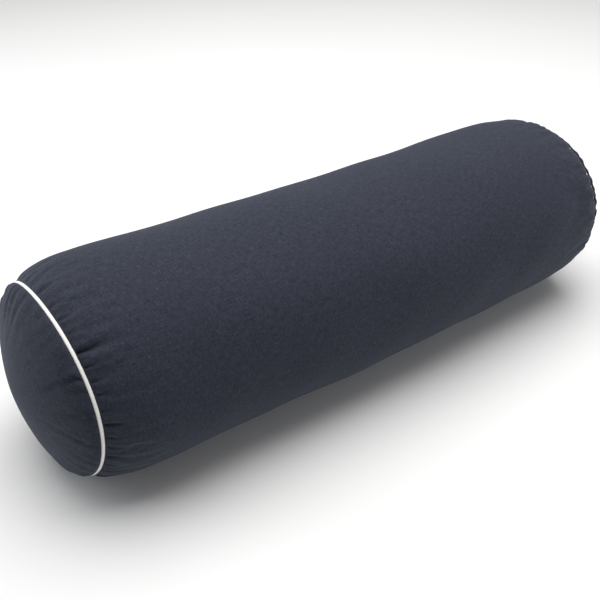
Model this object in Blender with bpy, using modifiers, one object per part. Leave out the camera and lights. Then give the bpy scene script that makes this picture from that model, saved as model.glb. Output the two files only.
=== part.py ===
"""Bolster pillow with a piped, zipped cover over a stuffed inner pad.

The pillow lies on its side on the floor: +X runs along it, +Y points to the back, where the zip is,
and +Z is up. The origin is the centre of its footprint. Lengths are in metres.

Every soft layer is turned about the pillow's long axis as a round shape. It is then settled on the
floor: its height shrinks to a fixed share and its lowest arc is pressed flat, as a filled pillow's is.
Each layer lies a named gap under the one outside it.
"""

import math

import bmesh
import bpy
from mathutils import Matrix, Vector

# Overall form, before the pillow settles
SEAM_TO_SEAM = 0.630        # between the two piped seams
SEAM_RADIUS = 0.097         # of each piped seam
COVER_SWELL = 0.015         # how far the belly stands out past the seams
RUN_IN = 0.090              # length over which the belly narrows to a seam
RUN_IN_POWER = 3.0          # how sharply the run-in rounds off
DOME_RISE = 0.035           # crown of an end panel past its seam
DOME_POWER = 1.59           # 2 is an ellipse, less is more pointed

# How it lies
SETTLE = 0.908              # share of its round height that the laid pillow keeps
FOOT_FLAT = 0.004           # height of the lowest arc that the floor presses flat

# Cloth and seams
COVER_CLOTH = 0.0008
CASE_CLOTH = 0.0006
BIAS_CLOTH = 0.0005         # strip folded round the piping cord
LAYER_GAP = 0.00045         # between one layer and the next
SEAM_GAP = 0.00035          # between the plies of a seam
FLANGE_GAP = 0.0003         # between the two halves of the folded strip
COVER_ALLOWANCE = 0.010     # depth of the cover's seams, inside
CASE_ALLOWANCE = 0.005
PIPING_RADIUS = 0.0017      # of the covered cord
CORD_ROOM = 0.0004          # between the cord and the strip round it
CASE_SEAM_INSET = 0.0022    # the pad's seam under the tips of the cover's seam allowances
WADDING_EDGE_INSET = 0.0008 # the wadding's edges inside the pad's seam, past their gap
FOAM_INSET = 0.005          # the foam core's side inside the pad's seam

# Zip in the back of the cover, size 5 coil
ZIP_FACET = 2               # facet of the belly it lies on, counted up from level at the back
ZIP_END_ROOM = 0.005        # from the end of its tape to the run-in
TAPE_PAST_SLOT = 0.008
SLOT_ROOM = 0.0007          # from the slider's side to the slot's edge
TAPE_CLOTH = 0.0006
TAPE_WIDTH = 0.0137         # of one side
TAPE_SPLIT = 0.0016         # between the two sides, where the slider's neck runs
COIL_WIDTH = 0.0022         # of one side
COIL_HEIGHT = 0.0019
STOP_LENGTH = 0.003
BOTTOM_STOP_LENGTH = 0.005
STOP_ROOM = 0.001           # from a stop to the end of the slot
STOP_OVERHANG = 0.0002      # a stop's side past the coil
STOP_RISE = 0.0009          # a stop's top over the coil
RUN_GAP = 0.0003            # clearance round everything that moves

SLIDER_LENGTH = 0.0135
SLIDER_CORNER = 0.0022
WING_THICKNESS = 0.001
WING_OVERHANG = 0.0001      # of a wing past the cheeks
CHEEK_THICKNESS = 0.0014
CHEEK_SETBACK = 0.0005      # of a cheek from the wing's ends
NECK_LENGTH = 0.0045
NECK_SETBACK = 0.001        # from the slider's leading end
BRIDGE_LENGTH = 0.0068
BRIDGE_WIDTH = 0.002
BRIDGE_BAR = 0.0012         # thickness of its legs and of its top
TAB_LENGTH = 0.026          # from the crossbar's centre
TAB_WIDTH = 0.007
TAB_CORNER = 0.002
CROSSBAR_RADIUS = 0.0007    # half the tab's thickness too

STEPS = 32                  # facets round the pillow
BEAD_ANGLES = 9             # points round the covered cord
CORD_SIDES = 8
WRAP_ANGLES = (53.0, 86.0)  # where a panel lies on the bead, degrees from the seam's plane
RUN_IN_STATIONS = (0.10, 0.22, 0.38, 0.60, 1.0)
DOME_STATIONS = (0.15, 0.32, 0.52, 0.72, 0.88, 1.0)
MERGE = 0.00001
SHARP_ANGLE = math.radians(35)

# Worked out from the above
SEAM_X = SEAM_TO_SEAM / 2
STRAIGHT_HALF = SEAM_X - RUN_IN
COVER_RADIUS = SEAM_RADIUS + COVER_SWELL
AXIS_HEIGHT = SETTLE * COVER_RADIUS - FOOT_FLAT
STEP_ANGLE = 2 * math.pi / STEPS
PLY_OFFSET = FLANGE_GAP / 2 + BIAS_CLOTH + SEAM_GAP
CASE_PLY_OFFSET = LAYER_GAP / 2
CASE_DEPTH = COVER_CLOTH + LAYER_GAP
WADDING_DEPTH = CASE_DEPTH + CASE_CLOTH + LAYER_GAP
CASE_SEAM_RADIUS = SEAM_RADIUS - COVER_ALLOWANCE - CASE_SEAM_INSET
FOAM_RADIUS = CASE_SEAM_RADIUS - FOAM_INSET
FOAM_END = SEAM_X - CASE_PLY_OFFSET - CASE_CLOTH - LAYER_GAP
BORE_RADIUS = FOAM_RADIUS + LAYER_GAP
CORD_RADIUS = PIPING_RADIUS - BIAS_CLOTH - CORD_ROOM
COIL_SIDE = TAPE_SPLIT / 2 + COIL_WIDTH
CHEEK_SIDE = COIL_SIDE + RUN_GAP + CHEEK_THICKNESS
WING_SIDE = CHEEK_SIDE + WING_OVERHANG
NECK_SIDE = TAPE_SPLIT / 2 - RUN_GAP

COLOURS = {
    "navy_cloth": ((0.040, 0.045, 0.068), 0.85, 0.0),
    "white_piping": ((0.80, 0.79, 0.76), 0.80, 0.0),
    "cotton_cord": ((0.72, 0.68, 0.60), 0.90, 0.0),
    "calico": ((0.70, 0.66, 0.56), 0.90, 0.0),
    "wadding": ((0.86, 0.86, 0.85), 0.95, 0.0),
    "foam": ((0.78, 0.74, 0.55), 0.90, 0.0),
    "zip_tape": ((0.030, 0.033, 0.050), 0.80, 0.0),
    "zip_coil": ((0.035, 0.038, 0.055), 0.45, 0.0),
    "zip_metal": ((0.12, 0.12, 0.13), 0.35, 1.0),
}


def clear_scene():
    for obj in list(bpy.data.objects):
        bpy.data.objects.remove(obj, do_unlink=True)


def collection(name):
    made = bpy.data.collections.new(name)
    bpy.context.scene.collection.children.link(made)
    return made


def material(slot):
    """The named material, made on first use."""
    found = bpy.data.materials.get(slot)
    if found:
        return found
    colour, roughness, metallic = COLOURS[slot]
    made = bpy.data.materials.new(slot)
    made.use_nodes = True
    shader = made.node_tree.nodes["Principled BSDF"]
    shader.inputs["Base Color"].default_value = (*colour, 1.0)
    shader.inputs["Roughness"].default_value = roughness
    shader.inputs["Metallic"].default_value = metallic
    made.diffuse_color = (*colour, 1.0)
    return made


def add_part(name, mesh, slot, parent=None, place=(0.0, 0.0, 0.0)):
    """Puts a mesh in the scene as a named piece with its material."""
    mesh.materials.clear()
    mesh.materials.append(material(slot))
    obj = bpy.data.objects.new(name, mesh)
    PARTS.objects.link(obj)
    obj.parent = parent
    obj.location = place
    return obj


def add_tool(name, mesh, parent, place=(0.0, 0.0, 0.0)):
    """Puts a mesh in the scene as a hidden cutter, or as a shape that a piece is joined with."""
    obj = bpy.data.objects.new(name, mesh)
    CUTTERS.objects.link(obj)
    obj.parent = parent
    obj.location = place
    obj.hide_render = True
    obj.display_type = "WIRE"
    return obj


def add_empty(name, matrix=None, parent=None, place=(0.0, 0.0, 0.0)):
    obj = bpy.data.objects.new(name, None)
    PARTS.objects.link(obj)
    obj.empty_display_size = 0.01
    if matrix is not None:
        obj.matrix_world = matrix
    else:
        obj.parent = parent
        obj.location = place
    return obj


def boolean(obj, tool, operation):
    cut = obj.modifiers.new(tool.name, "BOOLEAN")
    cut.operation = operation
    cut.solver = "EXACT"
    cut.object = tool


def wall(obj, thickness, offset=-1.0):
    """Gives a surface its thickness, by default inwards."""
    solid = obj.modifiers.new("wall", "SOLIDIFY")
    solid.thickness = thickness
    solid.offset = offset
    solid.use_even_offset = True


# Turned layers. A profile is a list of (radius, place along the axis), and it runs from the right end
# to the left along its outer side.


def turned(name, profile, closed=False):
    """The mesh of a profile turned about the pillow's long axis."""
    edges = [(i, i + 1) for i in range(len(profile) - 1)]
    if closed:
        edges.append((len(profile) - 1, 0))
    outline = bpy.data.meshes.new(name + "_profile")
    outline.from_pydata([(radius, 0.0, place) for radius, place in profile], edges, [])
    guide = bpy.data.objects.new(name + "_profile", outline)
    CUTTERS.objects.link(guide)
    screw = guide.modifiers.new("turn", "SCREW")
    screw.axis = "Z"
    screw.steps = STEPS
    screw.render_steps = STEPS
    screw.use_merge_vertices = True
    screw.merge_threshold = MERGE
    graph = bpy.context.evaluated_depsgraph_get()
    mesh = bpy.data.meshes.new_from_object(guide.evaluated_get(graph))
    mesh.transform(Matrix.Rotation(math.pi / 2, 4, "Y"))
    mesh.name = name
    bpy.data.objects.remove(guide)
    return mesh


def settle(mesh, depth, bore_depth=None):
    """Lays a round layer on the floor. Its depth is how far it lies under the cover's outer face."""
    for vertex in mesh.vertices:
        under = depth
        if bore_depth is not None and vertex.co.yz.length < BORE_RADIUS + LAYER_GAP:
            under = bore_depth
        vertex.co.z = max(SETTLE * vertex.co.z + AXIS_HEIGHT, SETTLE * under)
    mesh.shade_smooth()
    mesh.set_sharp_from_angle(angle=SHARP_ANGLE)


def dent_for_zip(mesh, zip_line):
    """Presses a round layer in under the zip. It is called before the layer is settled."""
    for vertex in mesh.vertices:
        angle = math.atan2(vertex.co.z, vertex.co.y)
        at_zip = abs(angle - (ZIP_FACET + 0.5) * STEP_ANGLE) < 0.6 * STEP_ANGLE
        outside = vertex.co.yz.length > BORE_RADIUS + LAYER_GAP
        if at_zip and outside and abs(vertex.co.x) < STRAIGHT_HALF + MERGE:
            inwards = zip_line["normal"] * zip_line["dent"]
            vertex.co.y -= inwards.y
            vertex.co.z -= inwards.z / SETTLE


def mirrored(half):
    """A whole profile from its right half."""
    return half + [(radius, -place) for radius, place in reversed(half)]


def other_end(profile):
    """The same profile at the left end."""
    return [(radius, -place) for radius, place in reversed(profile)]


def belly(seam_radius, full_radius):
    """The run-in of a side panel, from its seam to the start of the straight stretch."""
    rise = full_radius - seam_radius
    return [
        (seam_radius + rise * (1 - (1 - part) ** RUN_IN_POWER), SEAM_X - part * RUN_IN)
        for part in RUN_IN_STATIONS
    ]


def dome(seam_radius, rise):
    """The crown of an end panel, from its pole to just past its seam."""
    return [
        (seam_radius * (1 - part**DOME_POWER) ** (1 / DOME_POWER), SEAM_X + rise * part)
        for part in reversed(DOME_STATIONS)
    ]


def cover_seam(side):
    """A cover panel's edge, from its allowance out round the bead. Side is -1 for a side panel."""
    reach = (PIPING_RADIUS + LAYER_GAP) / math.cos(math.radians(WRAP_ANGLES[1] - WRAP_ANGLES[0]) / 2)
    first = math.degrees(math.asin(PLY_OFFSET / reach))
    points = [(SEAM_RADIUS - COVER_ALLOWANCE, SEAM_X + side * PLY_OFFSET)]
    for angle in map(math.radians, (first, *WRAP_ANGLES)):
        points.append((SEAM_RADIUS - reach * math.cos(angle), SEAM_X + side * reach * math.sin(angle)))
    return points


def case_seam(side):
    """A pad panel's edge, from its allowance to its seam."""
    place = SEAM_X + side * CASE_PLY_OFFSET
    return [(CASE_SEAM_RADIUS - CASE_ALLOWANCE, place), (CASE_SEAM_RADIUS, place)]


def cover_section_point(angle):
    """A point of the settled cover's section at the middle of the pillow."""
    height = SETTLE * COVER_RADIUS * math.sin(angle) + AXIS_HEIGHT
    return Vector((0.0, COVER_RADIUS * math.cos(angle), max(height, 0.0)))


def find_zip_line():
    """Where the zip lies, and the levels of its pieces over the cover's outer face."""
    rows = [cover_section_point((ZIP_FACET + step) * STEP_ANGLE) for step in (-1, 0, 1, 2)]
    seat = (rows[1] + rows[2]) / 2
    across = (rows[1] - rows[2]).normalized()
    normal = Vector((1.0, 0.0, 0.0)).cross(across)
    half_facet = (rows[1] - rows[2]).length / 2
    tape_edge = TAPE_SPLIT / 2 + TAPE_WIDTH
    fall = 0.0
    for row in (rows[0], rows[3]):
        slope = -(row - seat).dot(normal) / (abs((row - seat).dot(across)) - half_facet)
        fall = max(fall, slope * (tape_edge - half_facet))
    line = {"seat": seat, "across": across, "normal": normal}
    line["tape_top"] = -(COVER_CLOTH + fall + LAYER_GAP)
    line["tape_under"] = line["tape_top"] - TAPE_CLOTH
    line["coil_under"] = line["tape_top"] + RUN_GAP
    line["coil_top"] = line["coil_under"] + COIL_HEIGHT
    line["wing_under"] = line["coil_top"] + RUN_GAP
    line["wing_top"] = line["wing_under"] + WING_THICKNESS
    line["lower_wing_top"] = line["tape_under"] - RUN_GAP
    line["lower_wing_under"] = line["lower_wing_top"] - WING_THICKNESS
    line["crossbar"] = line["wing_top"] + RUN_GAP + CROSSBAR_RADIUS
    line["dent"] = LAYER_GAP - line["lower_wing_under"] - SETTLE * CASE_DEPTH
    return line


# Soft pieces


def make_cover(zip_frame):
    """The side panel with its zip slot, and the two end panels."""
    side = cover_seam(-1) + belly(SEAM_RADIUS, COVER_RADIUS)
    mesh = turned("cover_side_panel", mirrored(side))
    settle(mesh, 0.0)
    panel = add_part("cover_side_panel", mesh, "navy_cloth")
    wall(panel, COVER_CLOTH)
    slot_size = (2 * slot_half(), 2 * (WING_SIDE + SLOT_ROOM), 8 * COVER_CLOTH)
    boolean(panel, add_tool("zip_slot", box(slot_size), zip_frame), "DIFFERENCE")

    right = dome(SEAM_RADIUS, DOME_RISE) + list(reversed(cover_seam(1)))
    for name, profile in (("right_end_panel", right), ("left_end_panel", other_end(right))):
        mesh = turned(name, profile)
        settle(mesh, 0.0)
        wall(add_part(name, mesh, "navy_cloth"), COVER_CLOTH)


def make_piping():
    """At each seam a cord, and the bias strip folded round it with its two edges in the seam."""
    middle = PIPING_RADIUS - BIAS_CLOTH / 2
    flange = (FLANGE_GAP + BIAS_CLOTH) / 2
    first = math.asin(flange / middle)
    bead = []
    for i in range(BEAD_ANGLES):
        angle = first + (2 * math.pi - 2 * first) * i / (BEAD_ANGLES - 1)
        bead.append((SEAM_RADIUS - middle * math.cos(angle), middle * math.sin(angle)))
    edge = SEAM_RADIUS - COVER_ALLOWANCE
    strip = [(edge, flange), *bead, (edge, -flange)]
    cord = []
    for i in range(CORD_SIDES):
        angle = -2 * math.pi * (i + 0.5) / CORD_SIDES
        cord.append((SEAM_RADIUS + CORD_RADIUS * math.cos(angle), CORD_RADIUS * math.sin(angle)))
    for side, seam in (("right", SEAM_X), ("left", -SEAM_X)):
        mesh = turned(f"{side}_piping_cover", [(radius, seam + place) for radius, place in strip])
        settle(mesh, 0.0)
        wall(add_part(f"{side}_piping_cover", mesh, "white_piping"), BIAS_CLOTH, offset=0.0)
        mesh = turned(f"{side}_piping_cord", [(radius, seam + place) for radius, place in cord], True)
        settle(mesh, 0.0)
        add_part(f"{side}_piping_cord", mesh, "cotton_cord")


def make_inner_pad(zip_line):
    """The sewn calico case, the wadding in it and the foam core."""
    side = case_seam(-1) + belly(CASE_SEAM_RADIUS, COVER_RADIUS - CASE_DEPTH)
    mesh = turned("inner_side_panel", mirrored(side))
    dent_for_zip(mesh, zip_line)
    settle(mesh, CASE_DEPTH)
    wall(add_part("inner_side_panel", mesh, "calico"), CASE_CLOTH)

    right = dome(CASE_SEAM_RADIUS, DOME_RISE - CASE_DEPTH) + list(reversed(case_seam(1)))
    for name, profile in (("inner_right_end_panel", right), ("inner_left_end_panel", other_end(right))):
        mesh = turned(name, profile)
        settle(mesh, CASE_DEPTH)
        wall(add_part(name, mesh, "calico"), CASE_CLOTH)

    lining = CASE_CLOTH + LAYER_GAP
    edge = CASE_SEAM_RADIUS - lining - WADDING_EDGE_INSET
    outer = belly(edge, COVER_RADIUS - WADDING_DEPTH)
    outer.insert(0, (edge, FOAM_END))
    sleeve = mirrored(outer) + [(BORE_RADIUS, -FOAM_END), (BORE_RADIUS, FOAM_END)]
    mesh = turned("wadding_sleeve", sleeve, True)
    dent_for_zip(mesh, zip_line)
    settle(mesh, WADDING_DEPTH, bore_depth=COVER_RADIUS - BORE_RADIUS)
    add_part("wadding_sleeve", mesh, "wadding")

    boss = CASE_SEAM_RADIUS - CASE_ALLOWANCE - LAYER_GAP
    shoulder = SEAM_X + CASE_PLY_OFFSET + lining
    pad = dome(edge, DOME_RISE - WADDING_DEPTH)
    pad += [(edge, shoulder), (boss, shoulder)]
    pad += [(boss, FOAM_END + LAYER_GAP), (0.0, FOAM_END + LAYER_GAP)]
    for name, profile in (("right_end_wadding", pad), ("left_end_wadding", other_end(pad))):
        mesh = turned(name, profile)
        settle(mesh, WADDING_DEPTH)
        add_part(name, mesh, "wadding")

    core = [(0.0, FOAM_END), (FOAM_RADIUS, FOAM_END), (FOAM_RADIUS, -FOAM_END), (0.0, -FOAM_END)]
    mesh = turned("foam_core", core)
    settle(mesh, COVER_RADIUS - FOAM_RADIUS)
    add_part("foam_core", mesh, "foam")


# Zip. Its pieces are placed in the zip's own frame: X along it, Z out of the cover.


def slot_half():
    return STRAIGHT_HALF - ZIP_END_ROOM - TAPE_PAST_SLOT


def box(size, centre=(0.0, 0.0, 0.0), corner=0.0):
    """A block whose upright edges may be rounded."""
    shape = bmesh.new()
    bmesh.ops.create_cube(shape, size=1.0)
    bmesh.ops.scale(shape, vec=size, verts=shape.verts)
    if corner:
        upright = [e for e in shape.edges if abs(e.verts[0].co.z - e.verts[1].co.z) > size[2] / 2]
        bmesh.ops.bevel(shape, geom=upright, offset=corner, segments=3, profile=0.5, affect="EDGES")
    bmesh.ops.translate(shape, vec=centre, verts=shape.verts)
    mesh = bpy.data.meshes.new("box")
    shape.to_mesh(mesh)
    shape.free()
    return mesh


def block(x_range, y_range, z_range, corner=0.0):
    """A block between given limits."""
    size = [abs(high - low) for low, high in (x_range, y_range, z_range)]
    centre = [(low + high) / 2 for low, high in (x_range, y_range, z_range)]
    return box(size, centre, corner)


def make_zip_chain(line, frame):
    """The two tapes with their coils and stops."""
    tape_half = STRAIGHT_HALF - ZIP_END_ROOM
    last = slot_half() - STOP_ROOM
    coil_ends = (BOTTOM_STOP_LENGTH + RUN_GAP - last, last - STOP_LENGTH - RUN_GAP)
    inner = TAPE_SPLIT / 2
    stop_side = COIL_SIDE + STOP_OVERHANG
    coil_levels = (line["coil_under"], line["coil_top"])
    stop_levels = (line["coil_under"], line["coil_top"] + STOP_RISE)
    tape_levels = (line["tape_under"], line["tape_top"])
    for row, sign in (("upper", -1), ("lower", 1)):
        tape = block((-tape_half, tape_half), (sign * inner, sign * (inner + TAPE_WIDTH)), tape_levels)
        coil = block(coil_ends, (sign * inner, sign * COIL_SIDE), coil_levels)
        stop = block((last - STOP_LENGTH, last), (sign * inner, sign * stop_side), stop_levels)
        add_part(f"zip_tape_{row}", tape, "zip_tape", frame)
        add_part(f"zip_coil_{row}", coil, "zip_coil", frame)
        add_part(f"zip_top_stop_{row}", stop, "zip_metal", frame)
    bottom = block((-last, BOTTOM_STOP_LENGTH - last), (-stop_side, stop_side), stop_levels)
    add_part("zip_bottom_stop", bottom, "zip_metal", frame)
    return last - STOP_LENGTH - RUN_GAP - SLIDER_LENGTH / 2


def make_slider(line, frame):
    """Two wings joined by a neck, cheeks beside the coil, and a bridge that holds the pull tab."""
    half = SLIDER_LENGTH / 2
    wing_middle = (line["wing_under"] + line["wing_top"]) / 2
    lower_middle = (line["lower_wing_under"] + line["lower_wing_top"]) / 2
    bridge_top = line["crossbar"] + CROSSBAR_RADIUS + RUN_GAP + BRIDGE_BAR
    wing_x, wing_y = (-half, half), (-WING_SIDE, WING_SIDE)
    lower_levels = (line["lower_wing_under"], line["lower_wing_top"])
    upper_wing = block(wing_x, wing_y, (line["wing_under"], line["wing_top"]), SLIDER_CORNER)
    slider = add_part("zip_slider", upper_wing, "zip_metal", frame)
    cheek_x = (CHEEK_SETBACK + SLIDER_CORNER - half, half - CHEEK_SETBACK - SLIDER_CORNER)
    neck_x = (half - NECK_SETBACK - NECK_LENGTH, half - NECK_SETBACK)
    additions = {
        "slider_neck": block(neck_x, (-NECK_SIDE, NECK_SIDE), (lower_middle, wing_middle)),
        "slider_lower_wing": block(wing_x, wing_y, lower_levels, SLIDER_CORNER),
        "slider_bridge": block(
            (-BRIDGE_LENGTH / 2, BRIDGE_LENGTH / 2),
            (-BRIDGE_WIDTH / 2, BRIDGE_WIDTH / 2),
            (wing_middle, bridge_top),
        ),
    }
    for row, sign in (("upper", -1), ("lower", 1)):
        cheek_y = (sign * (CHEEK_SIDE - CHEEK_THICKNESS), sign * CHEEK_SIDE)
        additions[f"slider_cheek_{row}"] = block(cheek_x, cheek_y, (line["coil_under"], wing_middle))
    for name, mesh in additions.items():
        boolean(slider, add_tool(name, mesh, frame), "UNION")
    window_half = BRIDGE_LENGTH / 2 - BRIDGE_BAR
    window = block(
        (-window_half, window_half), (-BRIDGE_WIDTH, BRIDGE_WIDTH), (line["wing_top"], bridge_top - BRIDGE_BAR)
    )
    boolean(slider, add_tool("slider_window", window, frame), "DIFFERENCE")
    return math.hypot(BRIDGE_LENGTH / 2, bridge_top - line["crossbar"])


def make_pull_tab(pivot, bridge_sweep):
    """A flat tab on a crossbar through the slider's bridge. It lies back along the closed zip."""
    thickness = (-CROSSBAR_RADIUS, CROSSBAR_RADIUS)
    plate = block((-TAB_LENGTH, 0.0), (-TAB_WIDTH / 2, TAB_WIDTH / 2), thickness)
    tab = add_part("zip_pull_tab", rounded_far_end(plate), "zip_metal", pivot)
    fork = BRIDGE_WIDTH / 2 + RUN_GAP
    gap = block((-bridge_sweep - RUN_GAP, 2 * CROSSBAR_RADIUS), (-fork, fork), (-TAB_WIDTH, TAB_WIDTH))
    boolean(tab, add_tool("tab_fork_gap", gap, pivot), "DIFFERENCE")
    shape = bmesh.new()
    bmesh.ops.create_cone(
        shape,
        cap_ends=True,
        segments=12,
        radius1=CROSSBAR_RADIUS,
        radius2=CROSSBAR_RADIUS,
        depth=TAB_WIDTH - 2 * RUN_GAP,
        matrix=Matrix.Rotation(math.pi / 2, 4, "X"),
    )
    bar = bpy.data.meshes.new("tab_crossbar")
    shape.to_mesh(bar)
    shape.free()
    boolean(tab, add_tool("tab_crossbar", bar, pivot), "UNION")


def rounded_far_end(plate):
    """Rounds the two upright edges at the plate's free end."""
    shape = bmesh.new()
    shape.from_mesh(plate)
    far = [e for e in shape.edges if all(v.co.x < -TAB_LENGTH + MERGE for v in e.verts)]
    upright = [e for e in far if abs(e.verts[0].co.z - e.verts[1].co.z) > CROSSBAR_RADIUS]
    bmesh.ops.bevel(shape, geom=upright, offset=TAB_CORNER, segments=3, profile=0.5, affect="EDGES")
    shape.to_mesh(plate)
    shape.free()
    return plate


def main():
    zip_line = find_zip_line()
    turn = Matrix((Vector((1.0, 0.0, 0.0)), zip_line["across"], zip_line["normal"])).transposed()
    zip_frame = add_empty("zip_frame", Matrix.Translation(zip_line["seat"]) @ turn.to_4x4())
    make_cover(zip_frame)
    make_piping()
    make_inner_pad(zip_line)
    slider_place = make_zip_chain(zip_line, zip_frame)
    slider_frame = add_empty("slider_frame", parent=zip_frame, place=(slider_place, 0.0, 0.0))
    sweep = make_slider(zip_line, slider_frame)
    pivot = add_empty("pull_tab_pivot", parent=slider_frame, place=(0.0, 0.0, zip_line["crossbar"]))
    make_pull_tab(pivot, sweep)
    bpy.context.view_layer.update()


clear_scene()
PARTS = collection("bolster_pillow")
CUTTERS = collection("cutters")
main()
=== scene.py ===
"""Bolster pillow: the finished pieces of a round bolster in a zipped and piped slub cotton cover.

The pillow lies on its side: +X runs along it, +Y points to the back, where the zip is, and +Z is up.
Every soft layer is worked out as a round shape about the pillow's long axis, by its place along the axis,
its radius and its angle, counted from level at the back over the top. The lay function then settles it:
it lowers and flattens the round shape on the floor, lets the near seam wander, bows the front a little
and presses the strip at the zip flat. The gathers at the seams come from cloth simulations.
Lengths are in metres.
"""

import math

import bmesh
import bpy
import numpy as np
from bpy.props import FloatProperty, FloatVectorProperty, IntProperty, PointerProperty
from mathutils import Matrix, Vector


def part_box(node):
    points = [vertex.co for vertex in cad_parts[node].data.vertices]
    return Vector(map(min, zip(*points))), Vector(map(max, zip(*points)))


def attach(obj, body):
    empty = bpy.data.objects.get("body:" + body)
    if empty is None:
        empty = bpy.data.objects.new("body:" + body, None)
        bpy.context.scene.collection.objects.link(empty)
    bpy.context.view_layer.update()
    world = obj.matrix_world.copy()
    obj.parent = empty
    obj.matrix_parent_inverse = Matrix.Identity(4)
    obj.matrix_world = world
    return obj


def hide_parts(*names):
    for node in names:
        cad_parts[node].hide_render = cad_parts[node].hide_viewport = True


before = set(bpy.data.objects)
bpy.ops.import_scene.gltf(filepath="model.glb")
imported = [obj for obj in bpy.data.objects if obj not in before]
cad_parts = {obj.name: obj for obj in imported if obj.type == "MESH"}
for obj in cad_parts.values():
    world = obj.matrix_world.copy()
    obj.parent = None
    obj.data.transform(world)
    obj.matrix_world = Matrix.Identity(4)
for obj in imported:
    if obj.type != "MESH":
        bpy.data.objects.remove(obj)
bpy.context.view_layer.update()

bl_info = {
    "name": "Bolster pillow",
    "version": (1, 0, 0),
    "blender": (4, 5, 0),
    "location": "3D View > Sidebar > Bolster",
    "description": "Builds the finished pieces of a piped bolster pillow round its working model",
    "category": "Add Mesh",
}

# From the working model
PANEL_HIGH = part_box("cover_side_panel")[1]
PIPING_LOW, PIPING_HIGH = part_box("right_piping_cover")
COIL_LOW, COIL_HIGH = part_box("zip_coil_upper")
SEAM_X = (PIPING_LOW.x + PIPING_HIGH.x) / 2
BEAD_RADIUS = (PIPING_HIGH.x - PIPING_LOW.x) / 2
SEAM_RADIUS = PIPING_HIGH.y - BEAD_RADIUS
COVER_RADIUS = PANEL_HIGH.y
DOME_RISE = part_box("right_end_panel")[1].x - SEAM_X
SETTLE = 0.908              # share of its round height that the laid pillow keeps
AXIS_HEIGHT = PANEL_HIGH.z - SETTLE * COVER_RADIUS

# How the filled cover swells and lies
SEAM_START = 0.0021         # from a seam's plane to where a panel leaves the bead
RUN_IN = {-1: 0.073, 1: 0.160}          # over which the belly narrows to the left and right seam
RUN_IN_POWER = {-1: 3.1, 1: 2.8}
SHOULDER = {-1: 0.0026, 1: 0.0078}      # how far the cloth puffs up close beside the seam
DRAWN_IN = {-1: 0.001, 1: 0.0045}       # how far the filling's gathers draw a seam in
EDGE_LIFT = {-1: 0.001, 1: 0.0031}      # of the panels' edges over the middle of the bead
SHOULDER_LENGTH = 0.005
DOME_POWER = {-1: 1.59, 1: 1.50}        # 2 is an ellipse, less is more pointed
DOME_SHARE = {-1: 1.02, 1: 1.02}        # of the working model's dome
WANDER = (0.0030, -0.0021, -0.0009, 0.0028)     # of the near seam along the pillow: sin, cos, sin 2, cos 2
WANDER_REACH = 0.050
BOW = 0.004                 # how far the front bows out in the middle
SAG = 0.0050                # how far the top sinks in the middle
FOOT_SOFTNESS = 0.0015      # how gradually the foot leaves the floor

# Cloth
SEAM_DEPTH = 0.010          # of the seam allowances
PLY_OFFSET = 0.001          # of a panel's allowance from the seam's plane
BEAD_ROOM = 0.0002          # between the bead and the panels' edges
CASE_SEAM_RADIUS = 0.0842   # of the inner case
CASE_DEPTH = 0.0019         # of the inner case under the cover's outer face
WADDING_DEPTH = 0.0032
FOAM_RADIUS = 0.0795
CORD_RADIUS = BEAD_RADIUS - 0.0006
WRAP = math.radians(112)    # how far round the bead the panels' edges lie

# Zip, in its own frame: X along it, Y across and down the back, Z out of the cover
ZIP_ANGLE = math.radians(28.125)
ZIP_ACROSS = 0.929          # how much the settled back shortens what lies across the zip
SLOT_HALF = 0.212
SLOT_SIDE = 0.0055
SEAM_SIDE = 0.0002          # half the groove where the back seam is sewn shut
FLAT_SIDE = 0.009           # the cover is flat this far from the zip's middle
ROUND_SIDE = 0.018          # and round again from here
COIL_TOP = 0.000035
COIL_UNDER = -0.001865
COIL_INNER = 0.00022
NECK_REACH = 0.0006         # every point of the slider's neck lies nearer the zip's middle than this
NECK_UNDER = COIL_UNDER - 0.0012
NECK_TOP = COIL_TOP + 0.0006
NECK_SHARE = 0.3            # of its width that the neck keeps between the coils
COIL_OUTER = 0.0030
STITCH_SIDE = 0.0074        # of the topstitching from the zip's middle
STITCH_HALF = 0.2150
FOLD_RADIUS = 0.00075       # of the turned-in edge at the zip

# Deeper tucks at the left seam: angle in degrees, depth, length, width
TUCKS = (
    (58, 0.0014, 0.018, 0.0030),
    (74, 0.0012, 0.010, 0.0022),
    (91, 0.0022, 0.026, 0.0030),
    (104, 0.0016, 0.010, 0.0020),
    (113, 0.0024, 0.014, 0.0024),
    (122, 0.0016, 0.010, 0.0020),
    (132, 0.0042, 0.030, 0.0034),
    (140, 0.0024, 0.015, 0.0022),
    (148, 0.0022, 0.012, 0.0020),
    (155, 0.0026, 0.016, 0.0024),
    (164, 0.0020, 0.012, 0.0020),
    (172, 0.0036, 0.022, 0.0028),
    (180, 0.0022, 0.013, 0.0020),
    (187, 0.0026, 0.016, 0.0024),
    (195, 0.0030, 0.018, 0.0026),
    (203, 0.0022, 0.012, 0.0020),
    (212, 0.0026, 0.016, 0.0024),
    (226, 0.0026, 0.020, 0.0030),
    (318, 0.0024, 0.022, 0.0032),
    (345, 0.0020, 0.018, 0.0030),
)
FAR_TUCKS = (
    (42, 0.0024, 0.022, 0.0034),
    (70, 0.0016, 0.020, 0.0034),
    (92, 0.0034, 0.016, 0.0028),
    (103, 0.0030, 0.014, 0.0024),
    (119, 0.0018, 0.012, 0.0024),
    (141, 0.0036, 0.022, 0.0030),
    (150, 0.0018, 0.012, 0.0022),
    (159, 0.0036, 0.018, 0.0028),
    (171, 0.0022, 0.014, 0.0026),
    (196, 0.0022, 0.016, 0.0028),
    (214, 0.0020, 0.016, 0.0030),
    (322, 0.0024, 0.022, 0.0034),
    (350, 0.0022, 0.018, 0.0030),
)

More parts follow.
